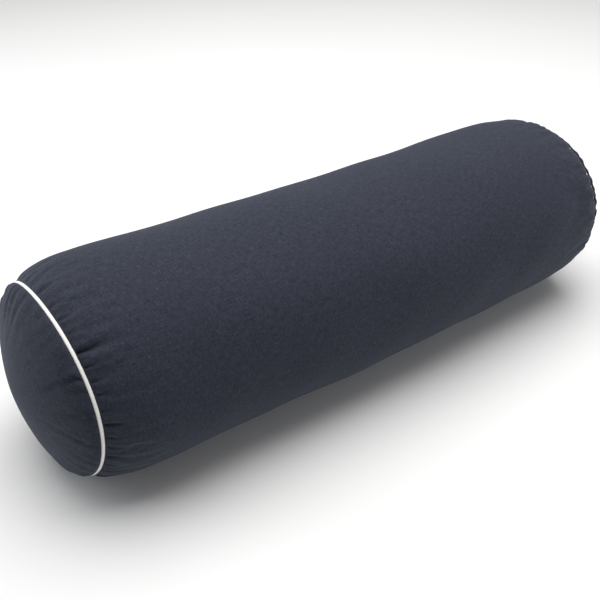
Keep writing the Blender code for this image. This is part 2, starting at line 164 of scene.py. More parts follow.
RING_COLUMNS = 256          # round a seam, while it is draped
FINER = 4                   # times as many in the draped shape's smooth copy
PANEL_COLUMNS = 448         # round the side panel
DOME_RINGS = RING_COLUMNS // 8
SIM_FRAMES = 30
SIM_LENGTH = 0.132          # of the side panel, from each seam, that is draped
CASE_COLUMNS = 192
WADDING_COLUMNS = 128
FOAM_COLUMNS = 96
STRIP_COLUMNS = 360
CORD_COLUMNS = 480
CORD_RIBS = 18
JOIN = 1e-6                 # points nearer than this are joined

# Where the top sinks and the front bows: the degrees over which each comes in and goes out
TOP_SPAN = ((34, 54), (100, 150))
FRONT_SPAN = ((75, 150), (250, 300))

# Small gathers: least and most width, depth and reach from the seam
GATHER_WIDTH = (0.0035, 0.0065)
GATHER_DEPTH = (0.0004, 0.0016)
GATHER_REACH = (0.010, 0.030)
GATHER_PEAK = 0.006         # from the seam to where they are deepest
PANEL_SPACING = (0.008, 0.021)
DOME_SPACING = (0.008, 0.020)

# Stage
CAMERA_AZIMUTH = -0.6201    # radians from straight in front, towards the left end
CAMERA_ELEVATION = 0.5951   # radians
CAMERA_DISTANCE = 0.8525
CAMERA_LEFT = 0.03679       # of the pillow's middle
CAMERA_DOWN = 0.03357
CAMERA_LENS = 47.38         # millimetres, for a sensor 36 wide
ROOM_LIGHT = 0.22
FLOOR_HALF = 6.0
FLOOR_DROP = 0.0002         # under the pillow's foot


def length_property(name, description, default):
    return FloatProperty(name=name, description=description, default=default, unit="LENGTH")


class BolsterSizes(bpy.types.PropertyGroup):
    """Sizes of the cover and its trim"""

    gather: FloatProperty(
        name="Gather strength",
        description="Share of the draped gathers that the cover keeps",
        default=0.45,
        min=0,
    )
    tuck: FloatProperty(
        name="Tuck strength", description="Share of the deeper tucks at the seams", default=1.3, min=0
    )
    cloth: length_property("Cover cloth", "Thickness of the cover's cloth", 0.0007)
    case_cloth: length_property("Case cloth", "Thickness of the inner case's cloth", 0.0005)
    strip: length_property("Piping strip", "Thickness of the strip round the piping cord", 0.00045)
    row_spacing: length_property("Row spacing", "Between the mesh's rows at the gathers", 0.002)
    stitch_pitch: length_property("Stitch pitch", "From one topstitch to the next", 0.0032)
    stitch_length: length_property("Stitch length", "Of the thread that shows in one stitch", 0.0027)
    thread: length_property("Thread", "Thickness of the sewing thread", 0.00038)
    coil_pitch: length_property("Coil pitch", "From one turn of the zip's coil to the next", 0.0013)
    coil_wire: length_property("Coil wire", "Radius of the zip's coiled nylon", 0.0003)
    weave: length_property("Weave", "From one thread of the cover's weave to the next", 0.00045)
    seed: IntProperty(name="Seed", description="Changes where the gathers fall", default=4)


def colour_property(name, description, default):
    return FloatVectorProperty(
        name=name, description=description, default=default, subtype="COLOR", size=3, min=0, max=1
    )


class BolsterColours(bpy.types.PropertyGroup):
    """Colours of the materials"""

    cloth: colour_property("Cover cloth", "Navy slub cotton", (0.0190, 0.0225, 0.0350))
    piping: colour_property("Piping", "Off-white cotton strip", (0.80, 0.79, 0.76))
    cord: colour_property("Piping cord", "Twisted cotton inside the piping", (0.72, 0.68, 0.60))
    calico: colour_property("Inner case", "Unbleached calico", (0.70, 0.66, 0.56))
    wadding: colour_property("Wadding", "Polyester fibre", (0.86, 0.86, 0.85))
    foam: colour_property("Foam", "Core foam", (0.78, 0.74, 0.55))
    tape: colour_property("Zip tape", "Navy zip tape", (0.030, 0.033, 0.050))
    coil: colour_property("Zip coil", "Navy nylon", (0.035, 0.038, 0.055))
    metal: colour_property("Zip metal", "Dark plated metal", (0.16, 0.16, 0.17))
    floor: colour_property("Floor", "Pale studio floor", (0.72, 0.72, 0.72))


def sizes():
    return bpy.context.scene.bolster_sizes


def colours():
    return bpy.context.scene.bolster_colours


# The pillow's form


def smooth(low, high, value):
    """0 below low and 1 above high, with soft ends."""
    part = np.clip((value - low) / (high - low), 0, 1)
    return part * part * (3 - 2 * part)


def angle_apart(a, b):
    """The signed difference of two angles."""
    return (a - b + math.pi) % (2 * math.pi) - math.pi


def between(span, angle):
    """1 inside a span of angles and 0 outside it, with soft ends, each given as a pair of degrees."""
    (low, full), (fading, high) = span
    come = smooth(math.radians(low), math.radians(full), angle)
    return come * (1 - smooth(math.radians(fading), math.radians(high), angle))


def even_angles(count, more=0):
    """Angles evenly spread round the pillow, and more of them on from there."""
    return np.arange(count + more) * 2 * math.pi / count


def run_along(outline):
    """The distance along an outline from its first point to each."""
    return np.concatenate([[0], np.cumsum(np.hypot(*np.diff(outline, axis=0).T))])


def zip_frame():
    """The matrix that takes the zip's own frame to the pillow's."""
    step = 2 * math.pi / 32
    rows = []
    for angle in (ZIP_ANGLE - step / 2, ZIP_ANGLE + step / 2):
        height = SETTLE * COVER_RADIUS * math.sin(angle) + AXIS_HEIGHT
        rows.append(Vector((0.0, COVER_RADIUS * math.cos(angle), height)))
    along = Vector((1.0, 0.0, 0.0))
    across = (rows[0] - rows[1]).normalized()
    turn = Matrix((along, across, along.cross(across))).transposed()
    return Matrix.Translation((rows[0] + rows[1]) / 2) @ turn.to_4x4()


ZIP_FRAME = zip_frame()
ZIP_SEAT = np.array(ZIP_FRAME.translation)
ZIP_DOWN = np.array(ZIP_FRAME.col[1][:3])
ZIP_OUT = np.array(ZIP_FRAME.col[2][:3])


def seam_radius(side):
    """Radius of a piped seam of the filled cover."""
    return SEAM_RADIUS - DRAWN_IN[side]


def edge_radius(side):
    """Radius at which a panel's face leaves the piping."""
    return seam_radius(side) + EDGE_LIFT[side]


def panel_radius(x, edge=None, full=COVER_RADIUS, longer=0.0):
    """Radius of a round side panel at a place along the pillow. Edge is its radius at the seams."""
    radius = full + 0.0 * x
    for side in (-1, 1):
        start = edge or edge_radius(side)
        away = np.maximum(SEAM_X - SEAM_START - side * x, 0)
        part = np.clip(away / (RUN_IN[side] + longer), 0, 1)
        puff = SHOULDER[side] * (1 - np.exp(-away / (SHOULDER_LENGTH + longer)))
        slow = (full - start - SHOULDER[side]) * (1 - (1 - part) ** RUN_IN_POWER[side])
        radius = np.minimum(radius, start + puff + slow)
    return radius


def dome_profile(side, radius, start, rise, count):
    """Points (distance past the seam, radius) evenly spread from an end panel's crown to its edge."""
    part = np.linspace(0, 1, 400) ** 2
    power = DOME_POWER[side]
    outline = np.stack([start + rise * part, radius * (1 - part**power) ** (1 / power)], -1)[::-1]
    outline[-1] = (start, radius)
    outline = outline[np.argsort(outline[:, 1], kind="stable")]
    run = run_along(outline)
    wanted = np.linspace(0, run[-1], count)
    return np.stack([np.interp(wanted, run, outline[:, k]) for k in (0, 1)], -1), run[-1]


def slow_swell(x, angle):
    """Slow unevenness of the filling, as a change of radius."""
    waves = 0.0007 * np.sin(x * 21 + 2 * angle + 0.6)
    waves = waves + 0.0005 * np.sin(x * 38 - 3 * angle + 2.1)
    waves = waves + 0.0004 * np.sin(x * 64 + 5 * angle + 4.4)
    waves = waves + 0.0004 * np.sin(x * 11 - 7 * angle + 1.3)
    clear_of_seams = 1 - smooth(SEAM_X - 0.05, SEAM_X - 0.01, np.abs(x))
    clear_of_zip = smooth(0.25, 0.6, np.abs(angle_apart(angle, ZIP_ANGLE)))
    return waves * clear_of_seams * clear_of_zip


def lay(x, radius, angle, depth=0.0, at_zip=0.0):
    """Settles round points on the floor, as an array of points. Depth is how far the layer lies under the
    cover's outer face, and at_zip how far it is pressed under the zip's level."""
    x, radius, angle = np.broadcast_arrays(x, radius, angle)
    around = angle % (2 * math.pi)
    middle = np.cos(np.clip(x / SEAM_X, -1, 1) * math.pi / 2) ** 2
    sag = SAG * between(TOP_SPAN, around) * middle
    radius = radius + (slow_swell(x, angle) - sag) * np.clip(radius / COVER_RADIUS, 0, 1)
    shift = WANDER[0] * np.sin(angle) + WANDER[1] * np.cos(angle)
    shift = shift + WANDER[2] * np.sin(2 * angle) + WANDER[3] * np.cos(2 * angle)
    reach = np.exp(-((np.maximum(x + SEAM_X, 0) / WANDER_REACH) ** 2))
    along = x + shift * reach * np.clip(radius / SEAM_RADIUS, 0, 1) ** 2
    y = radius * np.cos(angle)
    z = SETTLE * radius * np.sin(angle) + AXIS_HEIGHT
    y = y - BOW * between(FRONT_SPAN, around) * middle * np.clip(radius / COVER_RADIUS, 0, 1)
    floor = SETTLE * depth
    over = (z - floor) / FOOT_SOFTNESS
    lift = np.logaddexp(0, np.clip(over, -40, 40)) + np.maximum(over - 40, 0)
    z = floor + FOOT_SOFTNESS * lift
    points = np.stack([along, y, z], -1)

    across = (points - ZIP_SEAT) @ ZIP_DOWN
    level = (points - ZIP_SEAT) @ ZIP_OUT
    near = 1 - smooth(FLAT_SIDE + 2 * at_zip, ROUND_SIDE + 4 * at_zip, np.abs(across))
    near = near * (1 - smooth(SLOT_HALF + 0.006, SLOT_HALF + 0.024, np.abs(x)))
    near = near * (radius > 0.8 * COVER_RADIUS) * (np.abs(angle_apart(angle, ZIP_ANGLE)) < 0.6)
    pressed = np.where(at_zip > 0, np.minimum(level, -at_zip), 0.0)
    return points + ((pressed - level) * near)[..., None] * ZIP_OUT


# Meshes


def sheet_mesh(name, points, uv, closed=False, flip=False):
    """The mesh of a grid of points, row by row. A closed one joins its last column to its first."""
    rows, columns = points.shape[:2]
    index = np.arange(rows * columns).reshape(rows, columns)
    spans = columns if closed else columns - 1
    left, right = np.arange(spans), (np.arange(spans) + 1) % columns
    faces = np.stack(
        [index[:-1][:, left], index[1:][:, left], index[1:][:, right], index[:-1][:, right]], -1
    ).reshape(-1, 4)
    corners = np.stack(
        [uv[:-1][:, :spans], uv[1:][:, :spans], uv[1:][:, 1 : spans + 1], uv[:-1][:, 1 : spans + 1]], 2
    ).reshape(-1, 4, 2)
    if flip:
        faces, corners = faces[:, ::-1], corners[:, ::-1]
    return mesh_of(name, points.reshape(-1, 3), faces.tolist(), corners.reshape(-1, 2))


def band_faces(index):
    """Quads between the rows of a closed grid of point numbers."""
    after = np.roll(index, -1, 1)
    return np.stack([index[:-1], after[:-1], after[1:], index[1:]], -1).reshape(-1, 4)


def mesh_of(name, points, faces, corners):
    mesh = bpy.data.meshes.new(name)
    mesh.from_pydata(points.tolist(), [], faces)
    layer = mesh.uv_layers.new(name="cloth")
    layer.data.foreach_set("uv", np.asarray(corners, np.float32).ravel())
    mesh.shade_smooth()
    return mesh


def grid_uv(along, across):
    """Cloth coordinates, in metres, from the distances of the rows and of the columns."""
    return np.stack(np.broadcast_arrays(np.asarray(along)[:, None], np.asarray(across)[None, :]), -1)


def turned_mesh(name, profile, columns, layer, closed_profile=False, radial=None):
    """The settled mesh of a profile of (x, radius) points turned about the axis. Layer holds lay's last two
    values. A radius of 0 at either end is a pole. Radial is added to the radius, row by column."""
    profile = np.asarray(profile, float)
    angle = even_angles(columns)
    x, radius = profile[:, 0][:, None], profile[:, 1][:, None] + 0 * angle[None]
    if radial is not None:
        radius = radius + radial(x, radius, angle[None])
    points = lay(x, radius, angle[None], *layer)
    uv = grid_uv(run_along(profile), even_angles(columns, 1) * profile[:, 1].max())
    poles = [profile[0, 1] < 1e-9, profile[-1, 1] < 1e-9]
    rows = np.arange(len(profile))[1 if poles[0] else 0 : len(profile) - (1 if poles[1] else 0)]
    if closed_profile:
        points = np.concatenate([points, points[:1]])
        uv = np.concatenate([uv, uv[-1:] + 0.01])
        rows = np.append(rows, len(profile))
    mesh = sheet_mesh(name, points[rows], uv[rows], closed=True)
    built = bmesh.new()
    built.from_mesh(mesh)
    built.verts.ensure_lookup_table()
    layer_uv = built.loops.layers.uv.active
    for at_end, pole in enumerate(poles):
        if not pole:
            continue
        centre = built.verts.new(points[-1 if at_end else 0].mean(0))
        built.verts.ensure_lookup_table()
        first = (len(rows) - 1) * columns if at_end else 0
        for k in range(columns):
            a, b = built.verts[first + k], built.verts[first + (k + 1) % columns]
            face = built.faces.new((a, centre, b) if at_end else (b, centre, a))
            face.smooth = True
            for loop in face.loops:
                loop[layer_uv].uv = loop.vert.co.yz
    if closed_profile:
        bmesh.ops.remove_doubles(built, verts=built.verts, dist=JOIN)
    bmesh.ops.recalc_face_normals(built, faces=built.faces)
    built.to_mesh(mesh)
    built.free()
    return mesh


def turn_out(mesh, lengthways=1.0):
    """Turns an open shell's faces away from the pillow's middle. Lengthways is how much a face's distance
    along the pillow counts beside its distance across."""
    total = 0.0
    centre = Vector((0.0, 0.0, AXIS_HEIGHT))
    for polygon in mesh.polygons:
        away = polygon.center - centre
        away.x *= lengthways
        total += polygon.normal.dot(away) * polygon.area
    if total < 0:
        mesh.flip_normals()


def face_outwards(mesh, join=False):
    """Turns the faces of a mesh outwards, and first joins its doubled edges if asked."""
    built = bmesh.new()
    built.from_mesh(mesh)
    if join:
        bmesh.ops.remove_doubles(built, verts=built.verts, dist=JOIN)
    bmesh.ops.recalc_face_normals(built, faces=built.faces)
    built.to_mesh(mesh)
    built.free()


def add_piece(name, mesh, finish, body, nodes):
    """Puts a finished piece in the scene, in place of the working model's nodes."""
    mesh.materials.clear()
    mesh.materials.append(finish)
    piece = bpy.data.objects.new(name, mesh)
    bpy.context.scene.collection.objects.link(piece)
    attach(piece, body)
    if nodes:
        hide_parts(*nodes)
    return piece


def wall(piece, thickness):
    """Gives a panel its thickness, inwards."""
    solid = piece.modifiers.new("cloth", "SOLIDIFY")
    solid.thickness = thickness
    solid.offset = -1.0
    solid.use_even_offset = False


# Draping


def drape(start, gathered, faces, held, bending):
    """Runs a cloth simulation in which the held points move from start to gathered, and gives every
    point's last place. The cloth between them has nowhere to go, so it buckles into gathers."""
    mesh = bpy.data.meshes.new("draping")
    mesh.from_pydata(start.tolist(), [], faces)
    cloth = bpy.data.objects.new("draping", mesh)
    scene = bpy.context.scene
    scene.collection.objects.link(cloth)
    group = cloth.vertex_groups.new(name="held")
    group.add([int(i) for i in held], 1.0, "REPLACE")
    cloth.shape_key_add(name="start")
    key = cloth.shape_key_add(name="gathered")
    key.data.foreach_set("co", gathered.astype(np.float32).ravel())
    key.value = 0.0
    key.keyframe_insert("value", frame=1)
    key.value = 1.0
    key.keyframe_insert("value", frame=SIM_FRAMES // 2)
    modifier = cloth.modifiers.new("draping", "CLOTH")
    settings = modifier.settings
    settings.quality = 5
    settings.mass = 0.05
    settings.tension_stiffness = 15.0
    settings.compression_stiffness = 15.0
    settings.shear_stiffness = 4.0
    settings.bending_stiffness = bending
    settings.use_pressure = True
    settings.uniform_pressure_force = 4.0
    settings.vertex_group_mass = "held"
    settings.effector_weights.gravity = 0.0
    modifier.collision_settings.use_collision = False
    modifier.point_cache.frame_start = 1
    modifier.point_cache.frame_end = SIM_FRAMES
    for number in range(1, SIM_FRAMES + 1):
        scene.frame_set(number)
    result = cloth.evaluated_get(bpy.context.evaluated_depsgraph_get())
    places = np.empty(len(start) * 3, np.float32)
    result.data.vertices.foreach_get("co", places)
    action = mesh.shape_keys.animation_data.action
    bpy.data.objects.remove(cloth)
    bpy.data.meshes.remove(mesh)
    bpy.data.actions.remove(action)
    scene.frame_set(1)
    return places.reshape(-1, 3).astype(float)


def small_tucks(rng, distance, angle, spacing):
    """Small inward starts for the gathers, so that they form at uneven spacings."""
    bumps = np.zeros(np.broadcast(distance, angle).shape)
    at = 0.0
    while at < 2 * math.pi:
        width = rng.uniform(*GATHER_WIDTH) / SEAM_RADIUS
        depth = rng.uniform(*GATHER_DEPTH)
        reach = rng.uniform(*GATHER_REACH)
        rise = distance / GATHER_PEAK * np.exp(1 - distance / GATHER_PEAK)
        dent = depth * np.exp(-((angle_apart(angle, at) / width) ** 2))
        bumps -= dent * rise * np.exp(-((distance / reach) ** 2))
        at += rng.uniform(*spacing) / SEAM_RADIUS
    return bumps


def gathered_end(side):
    """Drapes one end of the side panel. Gives the rows' distances from the seam, and by row and column the
    change along the pillow, of the radius and of the angle that the gathers bring."""
    spacing = sizes().row_spacing
    distance = np.concatenate(
        [
            np.arange(SEAM_START, 0.042, spacing),
            np.arange(0.0428, 0.092, 1.5 * spacing),
            np.arange(0.0945, SIM_LENGTH, 2.6 * spacing),
        ]
    )
    angle = even_angles(RING_COLUMNS)
    shape = (len(distance), RING_COLUMNS)
    rng = np.random.default_rng(sizes().seed + side)
    filled = panel_radius(side * (SEAM_X - distance))
    bumps = small_tucks(rng, (distance - distance[0])[:, None], angle[None], PANEL_SPACING)

    def tube(radius, place):
        radius = radius[:, None] + bumps
        return np.stack([place[:, None] + 0 * radius, radius * np.cos(angle), radius * np.sin(angle)], -1)

    run = run_along(np.stack([distance, filled], -1))
    start = tube(np.full(len(distance), COVER_RADIUS), distance[-1] + run[-1] - run)
    target = tube(filled, 2 * distance[-1] - distance)
    index = np.arange(start[..., 0].size).reshape(shape)
    faces = band_faces(index)
    first = start.reshape(-1, 3)[faces[0]]
    outward = np.cross(first[1] - first[0], first[2] - first[1]) @ (first.mean(0) * (0, 1, 1))
    if outward < 0:
        faces = faces[:, ::-1]
    held = np.concatenate([index[0], index[-1], index[-2]])
    draped = drape(start.reshape(-1, 3), target.reshape(-1, 3), faces.tolist(), held, 3.0)
    draped = draped.reshape(*shape, 3)
    radius = np.hypot(draped[..., 1], draped[..., 2])
    turn = angle_apart(np.arctan2(draped[..., 2], draped[..., 1]), angle[None])
    change = [draped[..., 0], radius, turn]
    change = np.stack([c - c.mean(1, keepdims=True) for c in change])
    change[0] *= -side
    change[:, 0] = 0.0
    waves = np.fft.rfft(change)
    return distance, np.fft.irfft(waves, FINER * RING_COLUMNS) * FINER


def crease(off):
    """Across a tuck: a sharp dent between low shoulders."""
    return 1.25 * np.exp(-((1.3 * np.abs(off)) ** 1.4)) - 0.4 * np.exp(-0.125 * off**2)


def tuck_shape(tucks, distance, angle):
    """The deeper tucks: a narrow dent with low shoulders, deepest just off the seam."""
    total = np.zeros(np.broadcast(distance, angle).shape)
    for degrees, depth, length, width in tucks:
        lean = 0.0006 * math.sin(degrees * 1.7) * distance / 0.01
        off = angle_apart(angle, math.radians(degrees)) * SEAM_RADIUS + lean
        off = off / (width * (0.7 + distance / length * 0.6))
        part = np.clip(distance / length, 0, None)
        along = smooth(0.0, 0.0020, distance) * np.exp(-((part / 0.62) ** 2))
        total -= depth * crease(off) * along
    return total


class Cover:
    """The laid outer face of the side panel, with its gathers."""

    def __init__(self):
        self.ends = {side: gathered_end(side) for side in (-1, 1)}

    def change(self, x, angle):
        """Change of place, radius and angle at points, read from the draped ends."""
        total = np.zeros((3, *x.shape))
        columns = FINER * RING_COLUMNS
        column = (angle / (2 * math.pi) * columns) % columns
        low = np.floor(column).astype(int) % columns
        high = (low + 1) % columns
        part = column - np.floor(column)
        for side, (distance, change) in self.ends.items():
            away = SEAM_X - side * x
            row = np.interp(away, distance, np.arange(len(distance)))
            fade = 1 - smooth(0.75 * SIM_LENGTH, 0.95 * SIM_LENGTH, away)
            row_low = np.minimum(np.floor(row).astype(int), len(distance) - 2)
            row_part = row - row_low
            for k in range(3):
                grid = change[k]
                near = grid[row_low, low] * (1 - part) + grid[row_low, high] * part
                far = grid[row_low + 1, low] * (1 - part) + grid[row_low + 1, high] * part
                total[k] += (near * (1 - row_part) + far * row_part) * fade
        quiet = smooth(0.03, 0.16, np.abs(angle_apart(angle, ZIP_ANGLE)))
        quiet = np.maximum(quiet, smooth(SLOT_HALF + 0.01, SLOT_HALF + 0.04, np.abs(x)))
        return total * quiet * sizes().gather

    def points(self, x, angle):
        x, angle = np.broadcast_arrays(np.asarray(x, float), np.asarray(angle, float))
        along, out, turn = self.change(x, angle)
        for side, tucks in ((-1, TUCKS), (1, FAR_TUCKS)):
            away = np.maximum(SEAM_X - SEAM_START - side * x, 0)
            out = out + sizes().tuck * tuck_shape(tucks, away, angle)
        return lay(x + along, panel_radius(x) + out, angle + turn)


def seam_rows(side, side_of_seam):
    """Rows of a panel's edge, from its allowance's tip out round the bead: (distance from the seam's plane,
    radius). Side of seam is -1 for the panel on the pillow's side of it."""
    bead = seam_radius(side)
    reach = BEAD_RADIUS + BEAD_ROOM
    first = math.asin(PLY_OFFSET / reach)
    rows = [(side_of_seam * PLY_OFFSET, SEAM_RADIUS - SEAM_DEPTH + 0.0025 * k) for k in range(2)]
    for turn in np.linspace(first, WRAP, 7):
        rows.append((side_of_seam * reach * math.sin(turn), bead - reach * math.cos(turn)))
    return rows


def make_side_panel():
    """The long panel: from the left seam's allowance to the right one's, open along the zip."""
    cover = Cover()
    distance = cover.ends[-1][0]
    slot_rows = SLOT_HALF + np.array([-0.004, -0.0022, -0.001, -0.0003, 0.0003, 0.001, 0.0022, 0.004])
    close_rows = SEAM_START + np.array([0.0007, 0.0014, 0.0030])
    near = np.concatenate([-SEAM_X + distance, -SEAM_X + close_rows, -slot_rows])
    near = np.unique(np.round(near, 6))
    keep = np.ones(len(near), bool)
    for row in -slot_rows:
        close = np.abs(near - row) < 0.0009
        keep &= ~close | np.isin(near, np.round(-slot_rows, 6))
    near = near[keep]
    middle = np.linspace(near[-1], -near[-1], 48)[1:-1]
    x = np.concatenate([near, middle, -near[::-1]])

    columns = PANEL_COLUMNS
    even = np.linspace(0, 1, columns)
    opening = np.where(np.abs(x) < SLOT_HALF, SLOT_SIDE, SEAM_SIDE) / (ZIP_ACROSS * COVER_RADIUS)
    angle = ZIP_ANGLE + 2 * math.pi * even[None] + 0 * x[:, None]
    from_zip = np.minimum(even, 1 - even) * 2 * math.pi
    push = opening[:, None] * (1 - smooth(0.0, 0.30, from_zip))[None]
    angle = angle + push * np.where(even < 0.5, 1, -1)[None]
    body = cover.points(x[:, None], angle)
    seams = []
    for side in (-1, 1):
        rows = np.array(seam_rows(side, -1))
        place = side * (SEAM_X + rows[:, 0])
        edge = angle[0 if side < 0 else -1]
        points = lay(place[:, None], rows[:, 1][:, None], edge[None])
        seams.append(points if side < 0 else points[::-1])
    body = np.concatenate([seams[0], body, seams[1]])

    hemmed = add_hems(body)
    run = np.cumsum(np.concatenate([[0], np.linalg.norm(np.diff(body[:, columns // 2], axis=0), axis=1)]))
    hem = hemmed.shape[1] - columns
    width = 2 * math.pi * COVER_RADIUS
    before = np.linspace(-0.008, 0, hem // 2, endpoint=False)
    beyond = width + np.linspace(0, 0.008, hem // 2 + 1)[1:]
    across = np.concatenate([before, even * width, beyond])
    mesh = sheet_mesh("cover_side_panel_cloth", hemmed, grid_uv(run, across))
    turn_out(mesh, lengthways=0.05)
    piece = add_piece(
        "cover_side_panel_cloth", mesh, cloth_finish(), "bolster", ["cover_side_panel"]
    )
    wall(piece, sizes().cloth)


def add_hems(body):
    """Turns the panel's two long edges in, and back under it."""
    sides = []
    for edge, second, third in ((0, 1, 2), (-1, -2, -3)):
        rim = body[:, edge]
        outward = rim - body[:, second]
        outward /= np.linalg.norm(outward, axis=1, keepdims=True)
        along = np.gradient(rim, axis=0)
        along /= np.linalg.norm(along, axis=1, keepdims=True)
        up = np.cross(along, outward)
        middle = np.array([0.0, 0.0, AXIS_HEIGHT]) + rim * (1, 0, 0)
        up *= np.sign(((rim - middle) * up).sum(1))[:, None]
        rows = []
        for turn in np.radians((36, 72, 108, 144, 180)):
            rows.append(rim + FOLD_RADIUS * (outward * np.sin(turn) - up * (1 - np.cos(turn))))
        for column in (second, third):
            rows.append(body[:, column] - 2 * FOLD_RADIUS * up)
        sides.append(np.stack(rows, 1))
    return np.concatenate([sides[0][:, ::-1], body, sides[1]], 1)


def dome_grid():
    """A round grid of quads with no pole: each point's ring and angle, and the faces."""
    steps = np.arange(-DOME_RINGS, DOME_RINGS + 1)
    a, b = (m.ravel() for m in np.meshgrid(steps, steps, indexing="ij"))
    ring = np.maximum(np.abs(a), np.abs(b))
    flatter = np.abs(a) >= np.abs(b)
    share = np.where(flatter, b / np.maximum(np.abs(a), 1), a / np.maximum(np.abs(b), 1))
    share = np.where(ring > 0, share, 0)
    across = np.where(a >= 0, 0, math.pi) + np.where(a >= 0, 1, -1) * share * math.pi / 4
    upright = np.where(b >= 0, 0.5, 1.5) * math.pi - np.where(b >= 0, 1, -1) * share * math.pi / 4
    angle = np.where(flatter, across, upright)
    size = len(steps)
    index = np.arange(size * size).reshape(size, size)
    faces = np.stack([index[:-1, :-1], index[1:, :-1], index[1:, 1:], index[:-1, 1:]], -1).reshape(-1, 4)
    return ring, angle % (2 * math.pi), faces


def dome_tucks(side, part, angle):
    """Inward change of an end panel's surface: tucks that run in from its seam."""
    rng = np.random.default_rng(sizes().seed + 20 + side)
    total = np.zeros(part.shape)
    at = 0.0
    while at < 2 * math.pi:
        depth = rng.uniform(0.0004, 0.0018) * (1.6 if rng.random() < 0.25 else 0.8)
        length = rng.uniform(0.12, 0.42)
        width = rng.uniform(0.026, 0.048)
        bend = rng.uniform(-0.25, 0.25)
        inwards = 1 - part
        off = angle_apart(angle, at + bend * inwards) / (width * (0.65 + 1.5 * inwards / length * 0.5))
        total -= depth * crease(off) * smooth(0, 0.03, inwards) * np.exp(-((inwards / length) ** 2))
        at += rng.uniform(0.07, 0.20)
    return total


def make_end_panel(side, name):
    """One round end panel, from the seam allowance over the gathered edge to the crown."""
    ring, angle, faces = dome_grid()
    part = ring / DOME_RINGS
    rise = DOME_SHARE[side] * DOME_RISE - SEAM_START
    profile, length = dome_profile(side, edge_radius(side) - 0.0001, SEAM_START, rise, DOME_RINGS + 1)
    along, radius = profile[ring, 0], profile[ring, 1]
    turned = angle
    rng = np.random.default_rng(sizes().seed + 40 + side)
    tucks = small_tucks(rng, (1 - part) * length, angle, DOME_SPACING)

    def bowl(reach, height):
        return np.stack([height + 0.7 * tucks, reach * np.cos(angle), reach * np.sin(angle)], -1)

    start = bowl(part * length * 0.97, along)
    first = start[faces[0]]
    if np.cross(first[1] - first[0], first[2] - first[1])[0] < 0:
        faces = faces[:, ::-1]
    held = np.nonzero((ring == DOME_RINGS) | (ring <= DOME_RINGS // 5))[0]
    draped = drape(start, bowl(radius, along), faces.tolist(), held, 2.0)
    draped_radius = np.hypot(draped[:, 1], draped[:, 2])
    turn = angle_apart(np.arctan2(draped[:, 2], draped[:, 1]), angle)
    count = np.bincount(ring)
    strength = sizes().gather * smooth(0.2, 0.45, part) * (ring < DOME_RINGS)
    change = [
        (value - (np.bincount(ring, value) / count)[ring]) * strength
        for value in (draped[:, 0], draped_radius, turn)
    ]
    along, radius, turned = along + change[0], radius + change[1], angle + change[2]
    out = sizes().tuck * dome_tucks(side, part, angle)
    slope = np.gradient(profile, axis=0)
    slope /= np.linalg.norm(slope, axis=1, keepdims=True)
    along = along + out * np.abs(slope[ring, 1])
    radius = radius + out * np.abs(slope[ring, 0]) * (ring > 0)
    points = lay(side * (SEAM_X + along), radius, turned)
    flat = (part * length)[:, None] * np.stack([np.cos(angle), np.sin(angle)], -1)

    rim = np.nonzero(ring == DOME_RINGS)[0]
    rim = rim[np.argsort(angle[rim])]
    rows = np.array(seam_rows(side, 1))[::-1]
    skirt = lay(side * (SEAM_X + rows[:, 0])[:, None], rows[:, 1][:, None], angle[rim][None])
    index = len(points) + np.arange(skirt[..., 0].size).reshape(skirt.shape[:2])
    faces = np.concatenate([faces, band_faces(np.concatenate([rim[None], index]))])
    skirt_reach = (length + 0.0016 * (1 + np.arange(len(rows))))[:, None, None]
    skirt_flat = skirt_reach * np.stack([np.cos(angle[rim]), np.sin(angle[rim])], -1)[None]
    points = np.concatenate([points, skirt.reshape(-1, 3)])
    flat = np.concatenate([flat, skirt_flat.reshape(-1, 2)])
    mesh = mesh_of(name + "_cloth", points, faces.tolist(), flat[faces].reshape(-1, 2))
    face_outwards(mesh)
    crown = mesh.polygons[2 * DOME_RINGS * DOME_RINGS + DOME_RINGS]
    if crown.normal.x * side < 0:
        mesh.flip_normals()
    piece = add_piece(name + "_cloth", mesh, cloth_finish(), "bolster", [name])
    wall(piece, sizes().cloth)


def make_piping_cover(side, name):
    """The strip folded round the cord: its two edges lie in the seam and its bead shows."""
    columns = STRIP_COLUMNS
    angle = even_angles(columns)
    half_fold = 0.00065
    first = math.asin(half_fold / BEAD_RADIUS)
    deep = SEAM_DEPTH - DRAWN_IN[side]
    rows = [(half_fold, -deep), (half_fold, -0.0046), (half_fold, -0.0032)]
    for turn in np.linspace(first, 2 * math.pi - first, 19):
        rows.append((BEAD_RADIUS * math.sin(turn), -BEAD_RADIUS * math.cos(turn)))
    rows += [(-half_fold, -0.0032), (-half_fold, -0.0046), (-half_fold, -deep)]
    rows = np.array(rows)
    rng = np.random.default_rng(sizes().seed + 60 + side)
    uneven = np.zeros(columns)
    for waves in (7, 11, 19, 31, 47):
        uneven += rng.uniform(0.3, 1.0) * np.sin(waves * angle + rng.uniform(0, 6.28))
    uneven *= 0.00003
    bead = (np.hypot(rows[:, 0], rows[:, 1]) < 1.01 * BEAD_RADIUS)[:, None]
    grow = 1 + bead * uneven[None] / BEAD_RADIUS
    away, out = rows[:, 0][:, None] * grow, rows[:, 1][:, None] * grow
    points = lay(side * (SEAM_X + away), seam_radius(side) + out, angle[None])
    uv = grid_uv(run_along(rows), even_angles(columns, 1) * SEAM_RADIUS)
    mesh = sheet_mesh(name + "_strip", points, uv, closed=True)
    top = mesh.polygons[len(rows) // 2 * columns + columns // 4]
    if top.normal.z < 0:
        mesh.flip_normals()
    piece = add_piece(name + "_strip", mesh, piping_finish(), "bolster", [name])
    wall(piece, sizes().strip)


